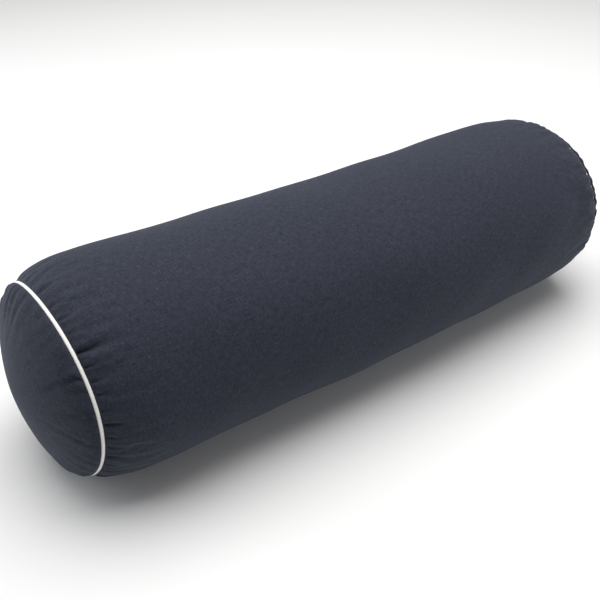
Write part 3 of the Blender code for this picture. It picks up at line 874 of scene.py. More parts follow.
def make_piping_cord(side, name):
    """Three strands of cotton twisted round each other, all the way round the seam."""
    angle = even_angles(CORD_COLUMNS)
    round_cord = even_angles(CORD_RIBS, 1)
    twist = round_cord[:, None] + 60 * angle[None]
    reach = CORD_RADIUS * (0.86 + 0.14 * np.abs(np.cos(1.5 * twist)))
    x = side * (SEAM_X + reach * np.sin(round_cord)[:, None])
    points = lay(x, seam_radius(side) - reach * np.cos(round_cord)[:, None], angle[None])
    uv = grid_uv(round_cord * CORD_RADIUS, even_angles(CORD_COLUMNS, 1) * SEAM_RADIUS)
    mesh = sheet_mesh(name + "_twist", points, uv, closed=True)
    face_outwards(mesh, join=True)
    add_piece(name + "_twist", mesh, cord_finish(), "bolster", [name])


# Inside the cover


def case_gathers(seam_radius, strength):
    """Soft gathers beside the inner case's seams, as a change of radius."""

    def radial(x, radius, angle):
        away = np.abs(np.abs(x) - SEAM_X)
        fade = smooth(0.002, 0.010, away) * np.exp(-((away / 0.045) ** 2))
        ripple = np.sin(37 * angle + 2.2 * np.sin(5 * angle)) + 0.6 * np.sin(23 * angle + 1.7)
        return strength * fade * ripple * (radius > 0.4 * seam_radius)

    return radial


def make_case():
    """The sewn calico case of the inner pad: a side panel and two ends, their edges turned in."""
    away = np.concatenate([np.linspace(0.0003, 0.012, 7), np.linspace(0.018, 0.15, 20)])
    middle = np.linspace(-SEAM_X + 0.16, SEAM_X - 0.16, 34)
    x = np.concatenate([-SEAM_X + away, middle, SEAM_X - away[::-1]])
    radius = panel_radius(x, CASE_SEAM_RADIUS, COVER_RADIUS - CASE_DEPTH, longer=0.015)
    allowance = CASE_SEAM_RADIUS - 0.005
    profile = [(x[0], allowance), *zip(x, radius), (x[-1], allowance)]
    layer = (CASE_DEPTH, 0.0046)
    gathers = case_gathers(CASE_SEAM_RADIUS, 0.0004)
    mesh = turned_mesh("inner_side_panel_calico", profile, CASE_COLUMNS, layer, radial=gathers)
    finish_case(mesh, "inner_side_panel")
    for side, name in ((-1, "inner_left_end_panel"), (1, "inner_right_end_panel")):
        rise = DOME_SHARE[side] * DOME_RISE - CASE_DEPTH
        crown = dome_profile(side, CASE_SEAM_RADIUS, 0.0003, rise, 30)[0]
        profile = [(side * (SEAM_X + along), reach) for along, reach in crown]
        profile[0] = (profile[0][0], 0.0)
        profile.append((side * (SEAM_X + 0.0003), allowance))
        gathers = case_gathers(CASE_SEAM_RADIUS, 0.0003)
        mesh = turned_mesh(name + "_calico", profile, CASE_COLUMNS, (CASE_DEPTH, 0.0), radial=gathers)
        finish_case(mesh, name)


def finish_case(mesh, node):
    turn_out(mesh)
    piece = add_piece(mesh.name, mesh, calico_finish(), "bolster", [node])
    wall(piece, sizes().case_cloth)


def fluff(strength):
    """Uneven fibre, as a change of radius."""

    def radial(x, radius, angle):
        waves = np.sin(90 * x + 9 * angle) + np.sin(151 * x - 14 * angle + 1)
        waves = waves + np.sin(61 * x + 23 * angle + 2)
        return strength * waves * (radius > 0.03)

    return radial


def make_filling():
    """The wadding sleeve round the foam core, the wadding at each end, and the core."""
    end = SEAM_X - 0.0016
    lining = 0.0011
    edge = CASE_SEAM_RADIUS - lining - 0.0008
    away = np.concatenate([[0.0], np.linspace(0.004, 0.15, 22)])
    middle = np.linspace(-SEAM_X + 0.165, SEAM_X - 0.165, 34)
    x = np.concatenate([-end + away, middle, end - away[::-1]])
    outer = panel_radius(x, edge, COVER_RADIUS - WADDING_DEPTH, longer=0.017)
    bore = FOAM_RADIUS + 0.0004
    profile = [*zip(x, outer), *[(place, bore) for place in np.linspace(end, -end, 40)]]
    name = "wadding_sleeve_fibre"
    layer, fibre = (WADDING_DEPTH, 0.0057), fluff(0.00006)
    mesh = turned_mesh(name, profile, WADDING_COLUMNS, layer, closed_profile=True, radial=fibre)
    piece = add_piece(name, mesh, wadding_finish(), "bolster", ["wadding_sleeve"])

    boss = CASE_SEAM_RADIUS - 0.0054
    shoulder = 0.0016
    for side, name in ((-1, "left_end_wadding"), (1, "right_end_wadding")):
        rise = DOME_SHARE[side] * DOME_RISE - WADDING_DEPTH - shoulder
        crown = dome_profile(side, edge - 0.0006, shoulder, rise, 24)[0]
        crown[0, 1] = 0.0
        profile = [(side * (SEAM_X + along), reach) for along, reach in crown]
        inner = SEAM_X - 0.0012
        profile += [(side * (SEAM_X + shoulder - 0.0004), edge - 0.002), (side * (SEAM_X + 0.001), boss)]
        profile += [(side * inner, boss - 0.0006)]
        profile += [(side * inner, reach) for reach in (0.06, 0.04, 0.02, 0.0)]
        layer = (WADDING_DEPTH, 0.0)
        mesh = turned_mesh(name + "_fibre", profile, WADDING_COLUMNS, layer, radial=fibre)
        piece = add_piece(name + "_fibre", mesh, wadding_finish(), "bolster", [name])

    half = end - 0.0002
    round_edge = [(0.0, 0.0015), (0.0004, 0.0006), (0.0015, 0.0)]
    right = [(half - back, FOAM_RADIUS - down) for back, down in round_edge]
    profile = [(half, 0.0), (half, 0.03), (half, 0.06), *right]
    profile += [(place, FOAM_RADIUS) for place in np.linspace(half - 0.02, 0.02 - half, 30)]
    profile += [(-place, reach) for place, reach in reversed(right)]
    profile += [(-half, 0.06), (-half, 0.03), (-half, 0.0)]
    mesh = turned_mesh("foam_core_block", profile, FOAM_COLUMNS, (COVER_RADIUS - FOAM_RADIUS, 0.0))
    piece = add_piece("foam_core_block", mesh, foam_finish(), "bolster", ["foam_core"])


# Geometry node trees


def new_node(tree, kind, step, inputs, settings):
    """Adds a node to a tree, a step further on than the last, with its settings and inputs. An input is
    linked to a socket or set to a value."""
    node = tree.nodes.new(kind)
    node.location = (step * len(tree.nodes), 0)
    for name, value in settings.items():
        setattr(node, name, value)
    for name, value in (inputs or {}).items():
        if isinstance(value, bpy.types.NodeSocket):
            tree.links.new(value, node.inputs[name])
        else:
            node.inputs[name].default_value = value
    return node


class Tree:
    """A geometry node tree, with its nodes laid out from left to right as they are added."""

    def __init__(self, name, inputs):
        self.group = bpy.data.node_groups.new(name, "GeometryNodeTree")
        self.group.is_modifier = True
        face = self.group.interface
        face.new_socket("Geometry", in_out="INPUT", socket_type="NodeSocketGeometry")
        self.sockets = {}
        for label, kind, description in inputs:
            socket = face.new_socket(label, in_out="INPUT", socket_type=kind, description=description)
            self.sockets[label] = socket.identifier
        face.new_socket("Geometry", in_out="OUTPUT", socket_type="NodeSocketGeometry")
        self.start = self.group.nodes.new("NodeGroupInput")
        self.end = self.group.nodes.new("NodeGroupOutput")

    def add(self, kind, inputs=None, **settings):
        return new_node(self.group, kind, 200, inputs, settings)

    def given(self, label):
        return self.start.outputs[label]

    def end_with(self, geometry):
        real = self.add("GeometryNodeRealizeInstances", {"Geometry": geometry})
        finish = self.add(
            "GeometryNodeSetMaterial", {"Geometry": real.outputs[0], "Material": self.given("Finish")}
        )
        self.group.links.new(finish.outputs[0], self.end.inputs[0])
        return self

    def grow(self, name, base, values):
        """The plain mesh that the tree makes on a base mesh, with the given inputs."""
        carrier = bpy.data.objects.new(name, base)
        bpy.context.scene.collection.objects.link(carrier)
        modifier = carrier.modifiers.new(name, "NODES")
        modifier.node_group = self.group
        for label, value in values.items():
            modifier[self.sockets[label]] = value
        graph = bpy.context.evaluated_depsgraph_get()
        mesh = bpy.data.meshes.new_from_object(carrier.evaluated_get(graph))
        mesh.name = name
        carrier.modifiers.remove(modifier)
        bpy.data.objects.remove(carrier)
        return mesh


def coil_tree():
    """One half of the zip's coil: a nylon wire in flattened turns."""
    tree = Tree(
        "zip coil",
        (
            ("Length", "NodeSocketFloat", "Of the whole coil"),
            ("Turns", "NodeSocketFloat", "Over the whole length"),
            ("Width", "NodeSocketFloat", "Across the tape, outside"),
            ("Height", "NodeSocketFloat", "Over the tape, outside"),
            ("Wire radius", "NodeSocketFloat", "Of the nylon"),
            ("Finish", "NodeSocketMaterial", "The coil's material"),
        ),
    )
    spiral = tree.add(
        "GeometryNodeCurveSpiral",
        {
            "Resolution": 10,
            "Rotations": tree.given("Turns"),
            "Start Radius": 0.5,
            "End Radius": 0.5,
            "Height": tree.given("Length"),
        },
    )
    inner = []
    for label in ("Width", "Height"):
        wire = tree.given("Wire radius")
        doubled = tree.add("ShaderNodeMath", {0: wire, 1: 2.0}, operation="MULTIPLY").outputs[0]
        less = tree.add("ShaderNodeMath", {0: tree.given(label), 1: doubled}, operation="SUBTRACT")
        inner.append(less.outputs[0])
    scale = tree.add("ShaderNodeCombineXYZ", {"X": inner[1], "Y": inner[0], "Z": 1.0})
    shaped = tree.add("GeometryNodeTransform", {"Geometry": spiral.outputs[0], "Scale": scale.outputs[0]})
    lengthways = (0.0, math.pi / 2, 0.0)
    laid = tree.add("GeometryNodeTransform", {"Geometry": shaped.outputs[0], "Rotation": lengthways})
    section = tree.add(
        "GeometryNodeCurvePrimitiveCircle", {"Resolution": 6, "Radius": tree.given("Wire radius")}
    )
    wire = tree.add(
        "GeometryNodeCurveToMesh",
        {"Curve": laid.outputs[0], "Profile Curve": section.outputs[0], "Fill Caps": True},
    )
    smoothed = tree.add("GeometryNodeSetShadeSmooth", {"Geometry": wire.outputs[0]})
    return tree.end_with(smoothed.outputs[0])


def stitch_tree():
    """Stitches along a path: short rounded lengths of thread."""
    tree = Tree(
        "topstitching",
        (
            ("Pitch", "NodeSocketFloat", "From one stitch to the next"),
            ("Stitch length", "NodeSocketFloat", "Of the thread that shows"),
            ("Thread", "NodeSocketFloat", "Its thickness"),
            ("Finish", "NodeSocketMaterial", "The thread's material"),
        ),
    )
    path = tree.add("GeometryNodeMeshToCurve", {"Mesh": tree.given("Geometry")})
    spots = tree.add(
        "GeometryNodeResampleCurve", {"Curve": path.outputs[0], "Length": tree.given("Pitch")}, mode="LENGTH"
    )
    tangent = tree.add("GeometryNodeInputTangent")
    aim = tree.add("FunctionNodeAlignRotationToVector", {"Vector": tangent.outputs[0]}, axis="Z")
    bead = tree.add("GeometryNodeMeshUVSphere", {"Segments": 8, "Rings": 6, "Radius": 0.5})
    size = tree.add(
        "ShaderNodeCombineXYZ",
        {"X": tree.given("Thread"), "Y": tree.given("Thread"), "Z": tree.given("Stitch length")},
    )
    stitch = tree.add("GeometryNodeTransform", {"Geometry": bead.outputs[0], "Scale": size.outputs[0]})
    placed = tree.add(
        "GeometryNodeInstanceOnPoints",
        {"Points": spots.outputs[0], "Instance": stitch.outputs[0], "Rotation": aim.outputs[0]},
    )
    smoothed = tree.add("GeometryNodeSetShadeSmooth", {"Geometry": placed.outputs[0]})
    return tree.end_with(smoothed.outputs[0])


def loop_mesh(points):
    """A mesh of one closed run of edges through the points."""
    mesh = bpy.data.meshes.new("path")
    edges = [(k, (k + 1) % len(points)) for k in range(len(points))]
    mesh.from_pydata(points, edges, [])
    return mesh


# Zip


def make_coils():
    """The two halves of the coil, turn by turn. A closed zip's halves meet; these stand just apart."""
    tree = coil_tree()
    length = COIL_HIGH.x - COIL_LOW.x - 2 * sizes().coil_wire
    values = {
        "Length": length,
        "Turns": round(length / sizes().coil_pitch),
        "Width": COIL_OUTER - COIL_INNER,
        "Height": COIL_TOP - COIL_UNDER,
        "Wire radius": sizes().coil_wire,
        "Finish": coil_finish(),
    }
    for row, sign in (("upper", -1), ("lower", 1)):
        mesh = tree.grow(f"zip_coil_{row}_turns", bpy.data.meshes.new("empty"), values)
        place = (
            COIL_LOW.x + sizes().coil_wire,
            sign * (COIL_INNER + COIL_OUTER) / 2,
            (COIL_TOP + COIL_UNDER) / 2,
        )
        mesh.transform(ZIP_FRAME @ Matrix.Translation(place))
        add_piece(mesh.name, mesh, coil_finish(), "bolster", [f"zip_coil_{row}"])


def refined_copy(node, edge):
    """A node's shape with its loose triangles joined and its edges rounded."""
    built = bmesh.new()
    built.from_mesh(bpy.data.objects[node].data)
    bmesh.ops.remove_doubles(built, verts=built.verts, dist=JOIN)
    bmesh.ops.dissolve_limit(built, angle_limit=math.radians(1), verts=built.verts, edges=built.edges)
    sharp = [e for e in built.edges if len(e.link_faces) == 2 and e.calc_face_angle() > math.radians(25)]
    bmesh.ops.bevel(
        built, geom=sharp, offset=edge, segments=2, profile=0.5, affect="EDGES", clamp_overlap=True
    )
    mesh = bpy.data.meshes.new(node)
    built.to_mesh(mesh)
    built.free()
    mesh.shade_smooth()
    mesh.set_sharp_from_angle(angle=math.radians(38))
    return mesh


def narrow_neck(mesh):
    """Narrows the slider's neck, which runs hidden between the two halves of the coil."""
    to_zip = ZIP_FRAME.inverted()
    for vertex in mesh.vertices:
        place = to_zip @ vertex.co
        if abs(place.y) < NECK_REACH and NECK_UNDER < place.z < NECK_TOP:
            place.y *= NECK_SHARE
            vertex.co = ZIP_FRAME @ place


def make_zip_metal():
    """The slider, its pull tab and the stops, with their edges rounded as plating leaves them."""
    pieces = (
        ("zip_slider", "zip_slider", "body", 0.00022),
        ("zip_pull_tab", "pull_tab", "plate", 0.00025),
        ("zip_top_stop_upper", "bolster", "clamp", 0.00025),
        ("zip_top_stop_lower", "bolster", "clamp", 0.00025),
        ("zip_bottom_stop", "bolster", "clamp", 0.0003),
    )
    for node, body, word, edge in pieces:
        mesh = refined_copy(node, edge)
        if node == "zip_slider":
            narrow_neck(mesh)
        add_piece(f"{node}_{word}", mesh, metal_finish(), body, [node])


def make_topstitching():
    """One line of stitches round the zip, through the turned-in edges and the tapes."""
    corner = 0.0015
    outline = []
    for sx, sy in ((1, 1), (-1, 1), (-1, -1), (1, -1)):
        for turn in range(5):
            part = turn / 4 * math.pi / 2
            if sx * sy > 0:
                dx, dy = math.cos(part), math.sin(part)
            else:
                dx, dy = math.sin(part), math.cos(part)
            x = sx * (STITCH_HALF - corner + corner * dx)
            y = sy * (STITCH_SIDE - corner + corner * dy)
            outline.append((x, y, 0.00005))
    mesh = stitch_tree().grow(
        "zip_topstitching",
        loop_mesh(outline),
        {
            "Pitch": sizes().stitch_pitch,
            "Stitch length": sizes().stitch_length,
            "Thread": sizes().thread,
            "Finish": thread_finish(),
        },
    )
    mesh.transform(ZIP_FRAME)
    add_piece("zip_topstitching", mesh, thread_finish(), "bolster", [])


# Materials


class Finish:
    """A material's node tree, built from small helpers."""

    def __init__(self, name, colour, roughness, metallic=0.0):
        self.material = bpy.data.materials.new(name)
        self.material.use_nodes = True
        self.material.diffuse_color = (*colour, 1.0)
        self.tree = self.material.node_tree
        self.shader = self.tree.nodes["Principled BSDF"]
        self.shader.inputs["Base Color"].default_value = (*colour, 1.0)
        self.shader.inputs["Roughness"].default_value = roughness
        self.shader.inputs["Metallic"].default_value = metallic

    def node(self, kind, inputs=None, **settings):
        return new_node(self.tree, kind, -200, inputs, settings)

    def cloth_place(self, scale, turn=0.0, move=(0.0, 0.0, 0.0)):
        """Cloth coordinates from the piece's UV map, scaled to counts per metre."""
        source = self.node("ShaderNodeUVMap", uv_map="cloth")
        mapping = self.node(
            "ShaderNodeMapping",
            {"Vector": source.outputs[0], "Scale": scale, "Rotation": (0.0, 0.0, turn), "Location": move},
        )
        return mapping.outputs[0]

    def object_place(self, scale, turn=(0.0, 0.0, 0.0)):
        source = self.node("ShaderNodeTexCoord")
        mapping = self.node(
            "ShaderNodeMapping", {"Vector": source.outputs["Object"], "Scale": scale, "Rotation": turn}
        )
        return mapping.outputs[0]

    def noise(self, place, detail=2.0, roughness=0.5, scale=1.0):
        made = self.node(
            "ShaderNodeTexNoise", {"Vector": place, "Scale": scale, "Detail": detail, "Roughness": roughness}
        )
        return made.outputs["Fac"]

    def spread(self, value, low, high, to_low=0.0, to_high=1.0):
        made = self.node(
            "ShaderNodeMapRange",
            {"Value": value, "From Min": low, "From Max": high, "To Min": to_low, "To Max": to_high},
        )
        return made.outputs["Result"]

    def math(self, operation, a, b=0.0):
        return self.node("ShaderNodeMath", {0: a, 1: b}, operation=operation).outputs[0]

    def threads(self, place):
        """The rise and fall of a plain weave, from -1 to 1, in threads per unit of the place."""
        split = self.node("ShaderNodeSeparateXYZ", {"Vector": place})
        waves = [self.math("SINE", self.math("MULTIPLY", split.outputs[k], math.pi)) for k in (0, 1)]
        return self.math("MULTIPLY", waves[0], waves[1])

    def mix(self, factor, a, b):
        made = self.node("ShaderNodeMix", {"Factor": factor}, data_type="RGBA")
        for socket, value in ((made.inputs[6], a), (made.inputs[7], b)):
            if isinstance(value, bpy.types.NodeSocket):
                self.tree.links.new(value, socket)
            else:
                socket.default_value = (*value, 1.0)
        return made.outputs[2]

    def colour(self, socket):
        self.tree.links.new(socket, self.shader.inputs["Base Color"])

    def rough(self, socket):
        self.tree.links.new(socket, self.shader.inputs["Roughness"])

    def bump(self, height, distance, strength=1.0, under=None):
        made = self.node("ShaderNodeBump", {"Height": height, "Distance": distance, "Strength": strength})
        if under is not None:
            self.tree.links.new(under, made.inputs["Normal"])
        return made.outputs[0]

    def normal(self, socket):
        self.tree.links.new(socket, self.shader.inputs["Normal"])

    def sheen(self, weight, roughness, tint):
        self.shader.inputs["Sheen Weight"].default_value = weight
        self.shader.inputs["Sheen Roughness"].default_value = roughness
        self.shader.inputs["Sheen Tint"].default_value = (*tint, 1.0)


def once(make):
    """Makes a material on its first use only."""
    made = {}

    def give():
        if make not in made:
            made[make] = make()
        return made[make]

    return give


def scaled(colour, factor):
    return tuple(min(1.0, c * factor) for c in colour)


@once
def cloth_finish():
    """Navy slub cotton: plain weave, thicker threads here and there, pale flecks and a soft sheen."""
    base = tuple(colours().cloth)
    made = Finish("navy slub cotton", base, 0.86)
    weave = 1 / sizes().weave
    warp = made.noise(made.cloth_place((110, 850, 1)), detail=3.0, roughness=0.6)
    weft = made.noise(made.cloth_place((850, 140, 1), move=(7.0, 3.0, 0.0)), detail=3.0, roughness=0.6)
    slub = made.noise(made.cloth_place((640, 120, 1), move=(2.0, 9.0, 0.0)), detail=1.0)
    long_slub = made.noise(made.cloth_place((110, 620, 1), move=(5.0, 1.0, 0.0)), detail=1.0)
    fleck = made.noise(made.cloth_place((440, 420, 1), move=(11.0, 4.0, 0.0)), detail=2.0)
    cloudy = made.noise(made.cloth_place((16, 16, 1)), detail=2.0)
    threads = made.math("ADD", made.spread(warp, 0.25, 0.75, -1, 1), made.spread(weft, 0.25, 0.75, -1, 1))
    tone = made.spread(threads, -1.1, 1.1, 0.0, 1.0)
    colour = made.mix(tone, scaled(base, 0.58), scaled(base, 1.48))
    colour = made.mix(made.spread(slub, 0.62, 0.80, 0.0, 0.6), colour, scaled(base, 1.7))
    colour = made.mix(made.spread(long_slub, 0.62, 0.80, 0.0, 0.5), colour, scaled(base, 1.6))
    colour = made.mix(made.spread(fleck, 0.64, 0.76, 0.0, 0.6), colour, scaled(base, 3.4))
    colour = made.mix(made.spread(cloudy, 0.3, 0.7, 0.0, 0.22), colour, scaled(base, 0.8))
    made.colour(colour)
    made.rough(made.spread(threads, -1.0, 1.0, 0.93, 0.80))
    fine = made.bump(made.threads(made.cloth_place((weave, weave, 1))), 0.00006, 0.5)
    raised = made.math("ADD", made.math("ADD", slub, long_slub), made.math("MULTIPLY", threads, 0.4))
    made.normal(made.bump(raised, 0.00022, 0.55, under=fine))
    made.sheen(0.10, 0.45, (0.72, 0.80, 1.0))
    made.shader.inputs["Specular IOR Level"].default_value = 0.25
    return made.material


@once
def piping_finish():
    """Off-white cotton cut on the bias: its threads run slantwise round the bead."""
    base = tuple(colours().piping)
    made = Finish("off-white bias cotton", base, 0.82)
    slant = made.cloth_place((2300, 2300, 1), turn=math.radians(45))
    threads = made.threads(slant)
    worn = made.noise(made.cloth_place((190, 60, 1)), detail=3.0)
    streak = made.noise(made.cloth_place((420, 1500, 1), turn=math.radians(45)), detail=2.0)
    colour = made.mix(made.spread(worn, 0.3, 0.75, 0.0, 0.6), base, scaled(base, 0.90))
    colour = made.mix(made.spread(streak, 0.5, 0.8, 0.0, 0.5), colour, (0.70, 0.68, 0.64))
    made.colour(colour)
    made.rough(made.spread(streak, 0.3, 0.7, 0.78, 0.90))
    fine = made.bump(threads, 0.00005, 0.5)
    made.normal(made.bump(streak, 0.00015, 0.5, under=fine))
    made.sheen(0.15, 0.5, (1.0, 1.0, 1.0))
    return made.material


@once
def cord_finish():
    """Twisted natural cotton."""
    base = tuple(colours().cord)
    made = Finish("cotton cord", base, 0.9)
    fibre = made.noise(made.cloth_place((900, 2600, 1), turn=math.radians(35)), detail=3.0)
    made.colour(made.mix(made.spread(fibre, 0.3, 0.75), scaled(base, 0.82), scaled(base, 1.12)))
    made.normal(made.bump(fibre, 0.0002, 0.6))
    made.sheen(0.2, 0.6, (1.0, 0.97, 0.9))
    return made.material


@once
def calico_finish():
    """Unbleached calico: plain weave with brown seed flecks."""
    base = tuple(colours().calico)
    made = Finish("unbleached calico", base, 0.9)
    warp = made.noise(made.cloth_place((40, 1300, 1)), detail=2.0)
    weft = made.noise(made.cloth_place((1300, 40, 1)), detail=2.0)
    seeds = made.noise(made.cloth_place((420, 420, 1)), detail=1.0)
    tone = made.math("ADD", made.spread(warp, 0.3, 0.7, 0.0, 0.5), made.spread(weft, 0.3, 0.7, 0.0, 0.5))
    colour = made.mix(tone, scaled(base, 0.88), scaled(base, 1.10))
    colour = made.mix(made.spread(seeds, 0.74, 0.80, 0.0, 0.8), colour, (0.26, 0.19, 0.11))
    made.colour(colour)
    fine = made.bump(made.threads(made.cloth_place((1900, 1900, 1))), 0.00006, 0.5)
    made.normal(made.bump(tone, 0.00015, 0.5, under=fine))
    made.sheen(0.1, 0.5, (1.0, 0.98, 0.92))
    return made.material


@once
def wadding_finish():
    """White polyester fibre, matted in every direction."""
    base = tuple(colours().wadding)
    made = Finish("polyester wadding", base, 0.95)
    tuft = made.noise(made.object_place((130, 130, 130)), detail=6.0, roughness=0.7)
    strand = made.noise(made.object_place((900, 240, 420)), detail=4.0, roughness=0.7)
    made.colour(made.mix(made.spread(tuft, 0.35, 0.7), scaled(base, 0.84), scaled(base, 1.08)))
    coarse = made.bump(tuft, 0.003, 0.6)
    made.normal(made.bump(strand, 0.0006, 0.7, under=coarse))
    made.sheen(0.5, 0.6, (1.0, 1.0, 1.0))
    return made.material


@once
def foam_finish():
    """Cream polyurethane foam with open pores, their pits painted darker as painted shade."""
    base = tuple(colours().foam)
    made = Finish("polyurethane foam", base, 0.9)
    pores = made.node(
        "ShaderNodeTexVoronoi", {"Vector": made.object_place((900, 900, 900)), "Scale": 1.0}
    ).outputs["Distance"]
    patches = made.noise(made.object_place((40, 40, 40)), detail=3.0)
    # Painted shade in the pores: the colour darkens towards each pore's middle, where the bump below sinks
    # the surface.
    colour = made.mix(made.spread(pores, 0.1, 0.6), scaled(base, 0.70), scaled(base, 1.08))
    made.colour(made.mix(made.spread(patches, 0.4, 0.7, 0.0, 0.3), colour, (0.80, 0.70, 0.45)))
    made.normal(made.bump(pores, 0.0008, 0.8))
    return made.material


@once
def tape_finish():
    """Woven zip tape: a herringbone whose ribs lean one way, then the other."""
    base = tuple(colours().tape)
    made = Finish("woven zip tape", base, 0.8)
    level = -math.atan2(ZIP_DOWN[2], ZIP_DOWN[1])
    place = made.object_place((1.0, 1.0, 1.0), turn=(level, 0.0, 0.0))
    split = made.node("ShaderNodeSeparateXYZ", {"Vector": place})
    rows = made.math("PINGPONG", made.math("MULTIPLY", split.outputs[1], 420.0), 1.0)
    lengthways = made.math("MULTIPLY", split.outputs[0], 1500.0)
    lean = made.math("ADD", lengthways, made.math("MULTIPLY", rows, 3.0))
    ribs = made.math("SINE", made.math("MULTIPLY", lean, 2.0))
    fuzz = made.noise(made.object_place((900, 900, 900)), detail=2.0)
    colour = made.mix(made.spread(ribs, -1.0, 1.0), scaled(base, 0.65), scaled(base, 1.55))
    made.colour(made.mix(made.spread(fuzz, 0.4, 0.7, 0.0, 0.35), colour, scaled(base, 2.0)))
    made.rough(made.spread(fuzz, 0.3, 0.7, 0.74, 0.88))
    made.normal(made.bump(ribs, 0.0001, 0.7))
    made.sheen(0.15, 0.4, (0.8, 0.85, 1.0))
    return made.material


@once
def coil_finish():
    """Dyed nylon monofilament, slightly shiny."""
    base = tuple(colours().coil)
    made = Finish("dyed nylon", base, 0.4)
    dye = made.noise(made.object_place((300, 300, 300)), detail=2.0)
    made.colour(made.mix(made.spread(dye, 0.3, 0.7), scaled(base, 0.8), scaled(base, 1.35)))
    made.rough(made.spread(dye, 0.3, 0.7, 0.34, 0.5))
    made.normal(made.bump(dye, 0.00004, 0.4))
    return made.material


@once
def metal_finish():
    """Dark plated zinc with fine scratches, worn lighter in patches."""
    base = tuple(colours().metal)
    made = Finish("plated zinc", base, 0.34, metallic=1.0)
    scratch = made.noise(made.object_place((260, 5200, 5200)), detail=4.0, roughness=0.65)
    wear = made.noise(made.object_place((420, 420, 420)), detail=3.0)
    colour = made.mix(made.spread(wear, 0.45, 0.7), base, scaled(base, 1.9))
    made.colour(made.mix(made.spread(scratch, 0.55, 0.75, 0.0, 0.4), colour, scaled(base, 2.6)))
    made.rough(made.spread(scratch, 0.3, 0.7, 0.26, 0.46))
    made.normal(made.bump(scratch, 0.00003, 0.4))
    return made.material


@once
def thread_finish():
    """Navy polyester sewing thread."""
    base = scaled(tuple(colours().cloth), 1.5)
    made = Finish("sewing thread", base, 0.6)
    ply = made.noise(made.object_place((3200, 3200, 3200)), detail=2.0)
    made.colour(made.mix(made.spread(ply, 0.3, 0.7), scaled(base, 0.75), scaled(base, 1.4)))
    made.normal(made.bump(ply, 0.00006, 0.6))
    made.sheen(0.2, 0.35, (0.8, 0.86, 1.0))
    return made.material


# Stage


def floor_finish():
    base = tuple(colours().floor)
    made = Finish("pale floor", base, 0.9)
    tone = made.noise(made.object_place((3, 3, 3)), detail=2.0)
    made.colour(made.mix(made.spread(tone, 0.3, 0.7), base, scaled(base, 1.01)))
    return made.material


def make_floor():
    mesh = bpy.data.meshes.new("studio_floor")
    built = bmesh.new()
    bmesh.ops.create_grid(built, x_segments=4, y_segments=4, size=FLOOR_HALF)
    bmesh.ops.translate(built, vec=(0.0, 0.0, -FLOOR_DROP), verts=built.verts)
    built.to_mesh(mesh)
    built.free()
    mesh.materials.append(floor_finish())
    floor = bpy.data.objects.new("studio_floor", mesh)
    bpy.context.scene.collection.objects.link(floor)


def add_softbox(name, place, aim, size, power, colour):
    data = bpy.data.lights.new(name, "AREA")
    data.shape = "RECTANGLE"
    data.size, data.size_y = size
    data.energy = power
    data.color = colour
    lamp = bpy.data.objects.new(name, data)
    bpy.context.scene.collection.objects.link(lamp)
    lamp.location = place
    lamp.rotation_euler = (Vector(aim) - Vector(place)).to_track_quat("-Z", "Y").to_euler()


def make_lights():
    """A wide softbox overhead, weaker ones before the right end and behind the left, and a dim even room."""
    add_softbox("overhead_softbox", (0.2, 0.3, 2.1), (0.1, 0.0, 0.0), (2.6, 2.2), 80.0, (1.0, 0.99, 0.98))
    add_softbox("right_softbox", (1.3, -1.5, 0.6), (0.1, 0.0, 0.08), (1.0, 0.8), 9.0, (0.96, 0.97, 1.0))
    add_softbox("left_softbox", (-1.5, 1.1, 0.7), (-0.2, 0.0, 0.1), (1.0, 1.0), 10.0, (0.90, 0.95, 1.0))
    room = bpy.data.worlds.new("bright room")
    room.use_nodes = True
    shade = room.node_tree.nodes["Background"]
    shade.inputs["Color"].default_value = (1.0, 1.0, 1.0, 1.0)
    shade.inputs["Strength"].default_value = ROOM_LIGHT
    bpy.context.scene.world = room
    bpy.context.scene.view_settings.view_transform = "Standard"


def make_camera():
    """A camera in front of the left end and above it, looking down along the pillow."""
    azimuth, level = CAMERA_AZIMUTH, math.cos(CAMERA_ELEVATION)
    back = Vector((math.sin(azimuth) * level, -math.cos(azimuth) * level, math.sin(CAMERA_ELEVATION)))
    right = Vector((math.cos(azimuth), math.sin(azimuth), 0.0))
    up = back.cross(right)
    data = bpy.data.cameras.new("camera")
    data.sensor_width = 36.0
    data.lens = CAMERA_LENS
    camera = bpy.data.objects.new("camera", data)
    bpy.context.scene.collection.objects.link(camera)
    offset = back * CAMERA_DISTANCE - right * CAMERA_LEFT - up * CAMERA_DOWN
    camera.location = offset + Vector((0.0, 0.0, AXIS_HEIGHT))
    camera.rotation_mode = "QUATERNION"
    camera.rotation_quaternion = Matrix((right, up, back)).transposed().to_quaternion()
    bpy.context.scene.camera = camera


# Operators


class PieceOperator:
    """What the operators share: each builds its pieces with one function."""

    bl_options = {"REGISTER", "UNDO"}

    def execute(self, context):
        self.build()
        return {"FINISHED"}


class BOLSTER_OT_side_panel(PieceOperator, bpy.types.Operator):
    """Builds the cover's long panel, draped and gathered, with its opening for the zip"""

    bl_idname = "bolster.side_panel"
    bl_label = "Side Panel"
    build = staticmethod(make_side_panel)


class BOLSTER_OT_end_panels(PieceOperator, bpy.types.Operator):
    """Builds the cover's two domed end panels with their gathered edges"""

    bl_idname = "bolster.end_panels"
    bl_label = "End Panels"

    def build(self):
        make_end_panel(-1, "left_end_panel")
        make_end_panel(1, "right_end_panel")


class BOLSTER_OT_piping(PieceOperator, bpy.types.Operator):
    """Builds the piping of both seams: the folded strips and the twisted cords inside them"""

    bl_idname = "bolster.piping"
    bl_label = "Piping"

    def build(self):
        for side, word in ((-1, "left"), (1, "right")):
            make_piping_cover(side, f"{word}_piping_cover")
            make_piping_cord(side, f"{word}_piping_cord")


class BOLSTER_OT_inner_case(PieceOperator, bpy.types.Operator):
    """Builds the calico case of the inner pad"""

    bl_idname = "bolster.inner_case"
    bl_label = "Inner Case"
    build = staticmethod(make_case)


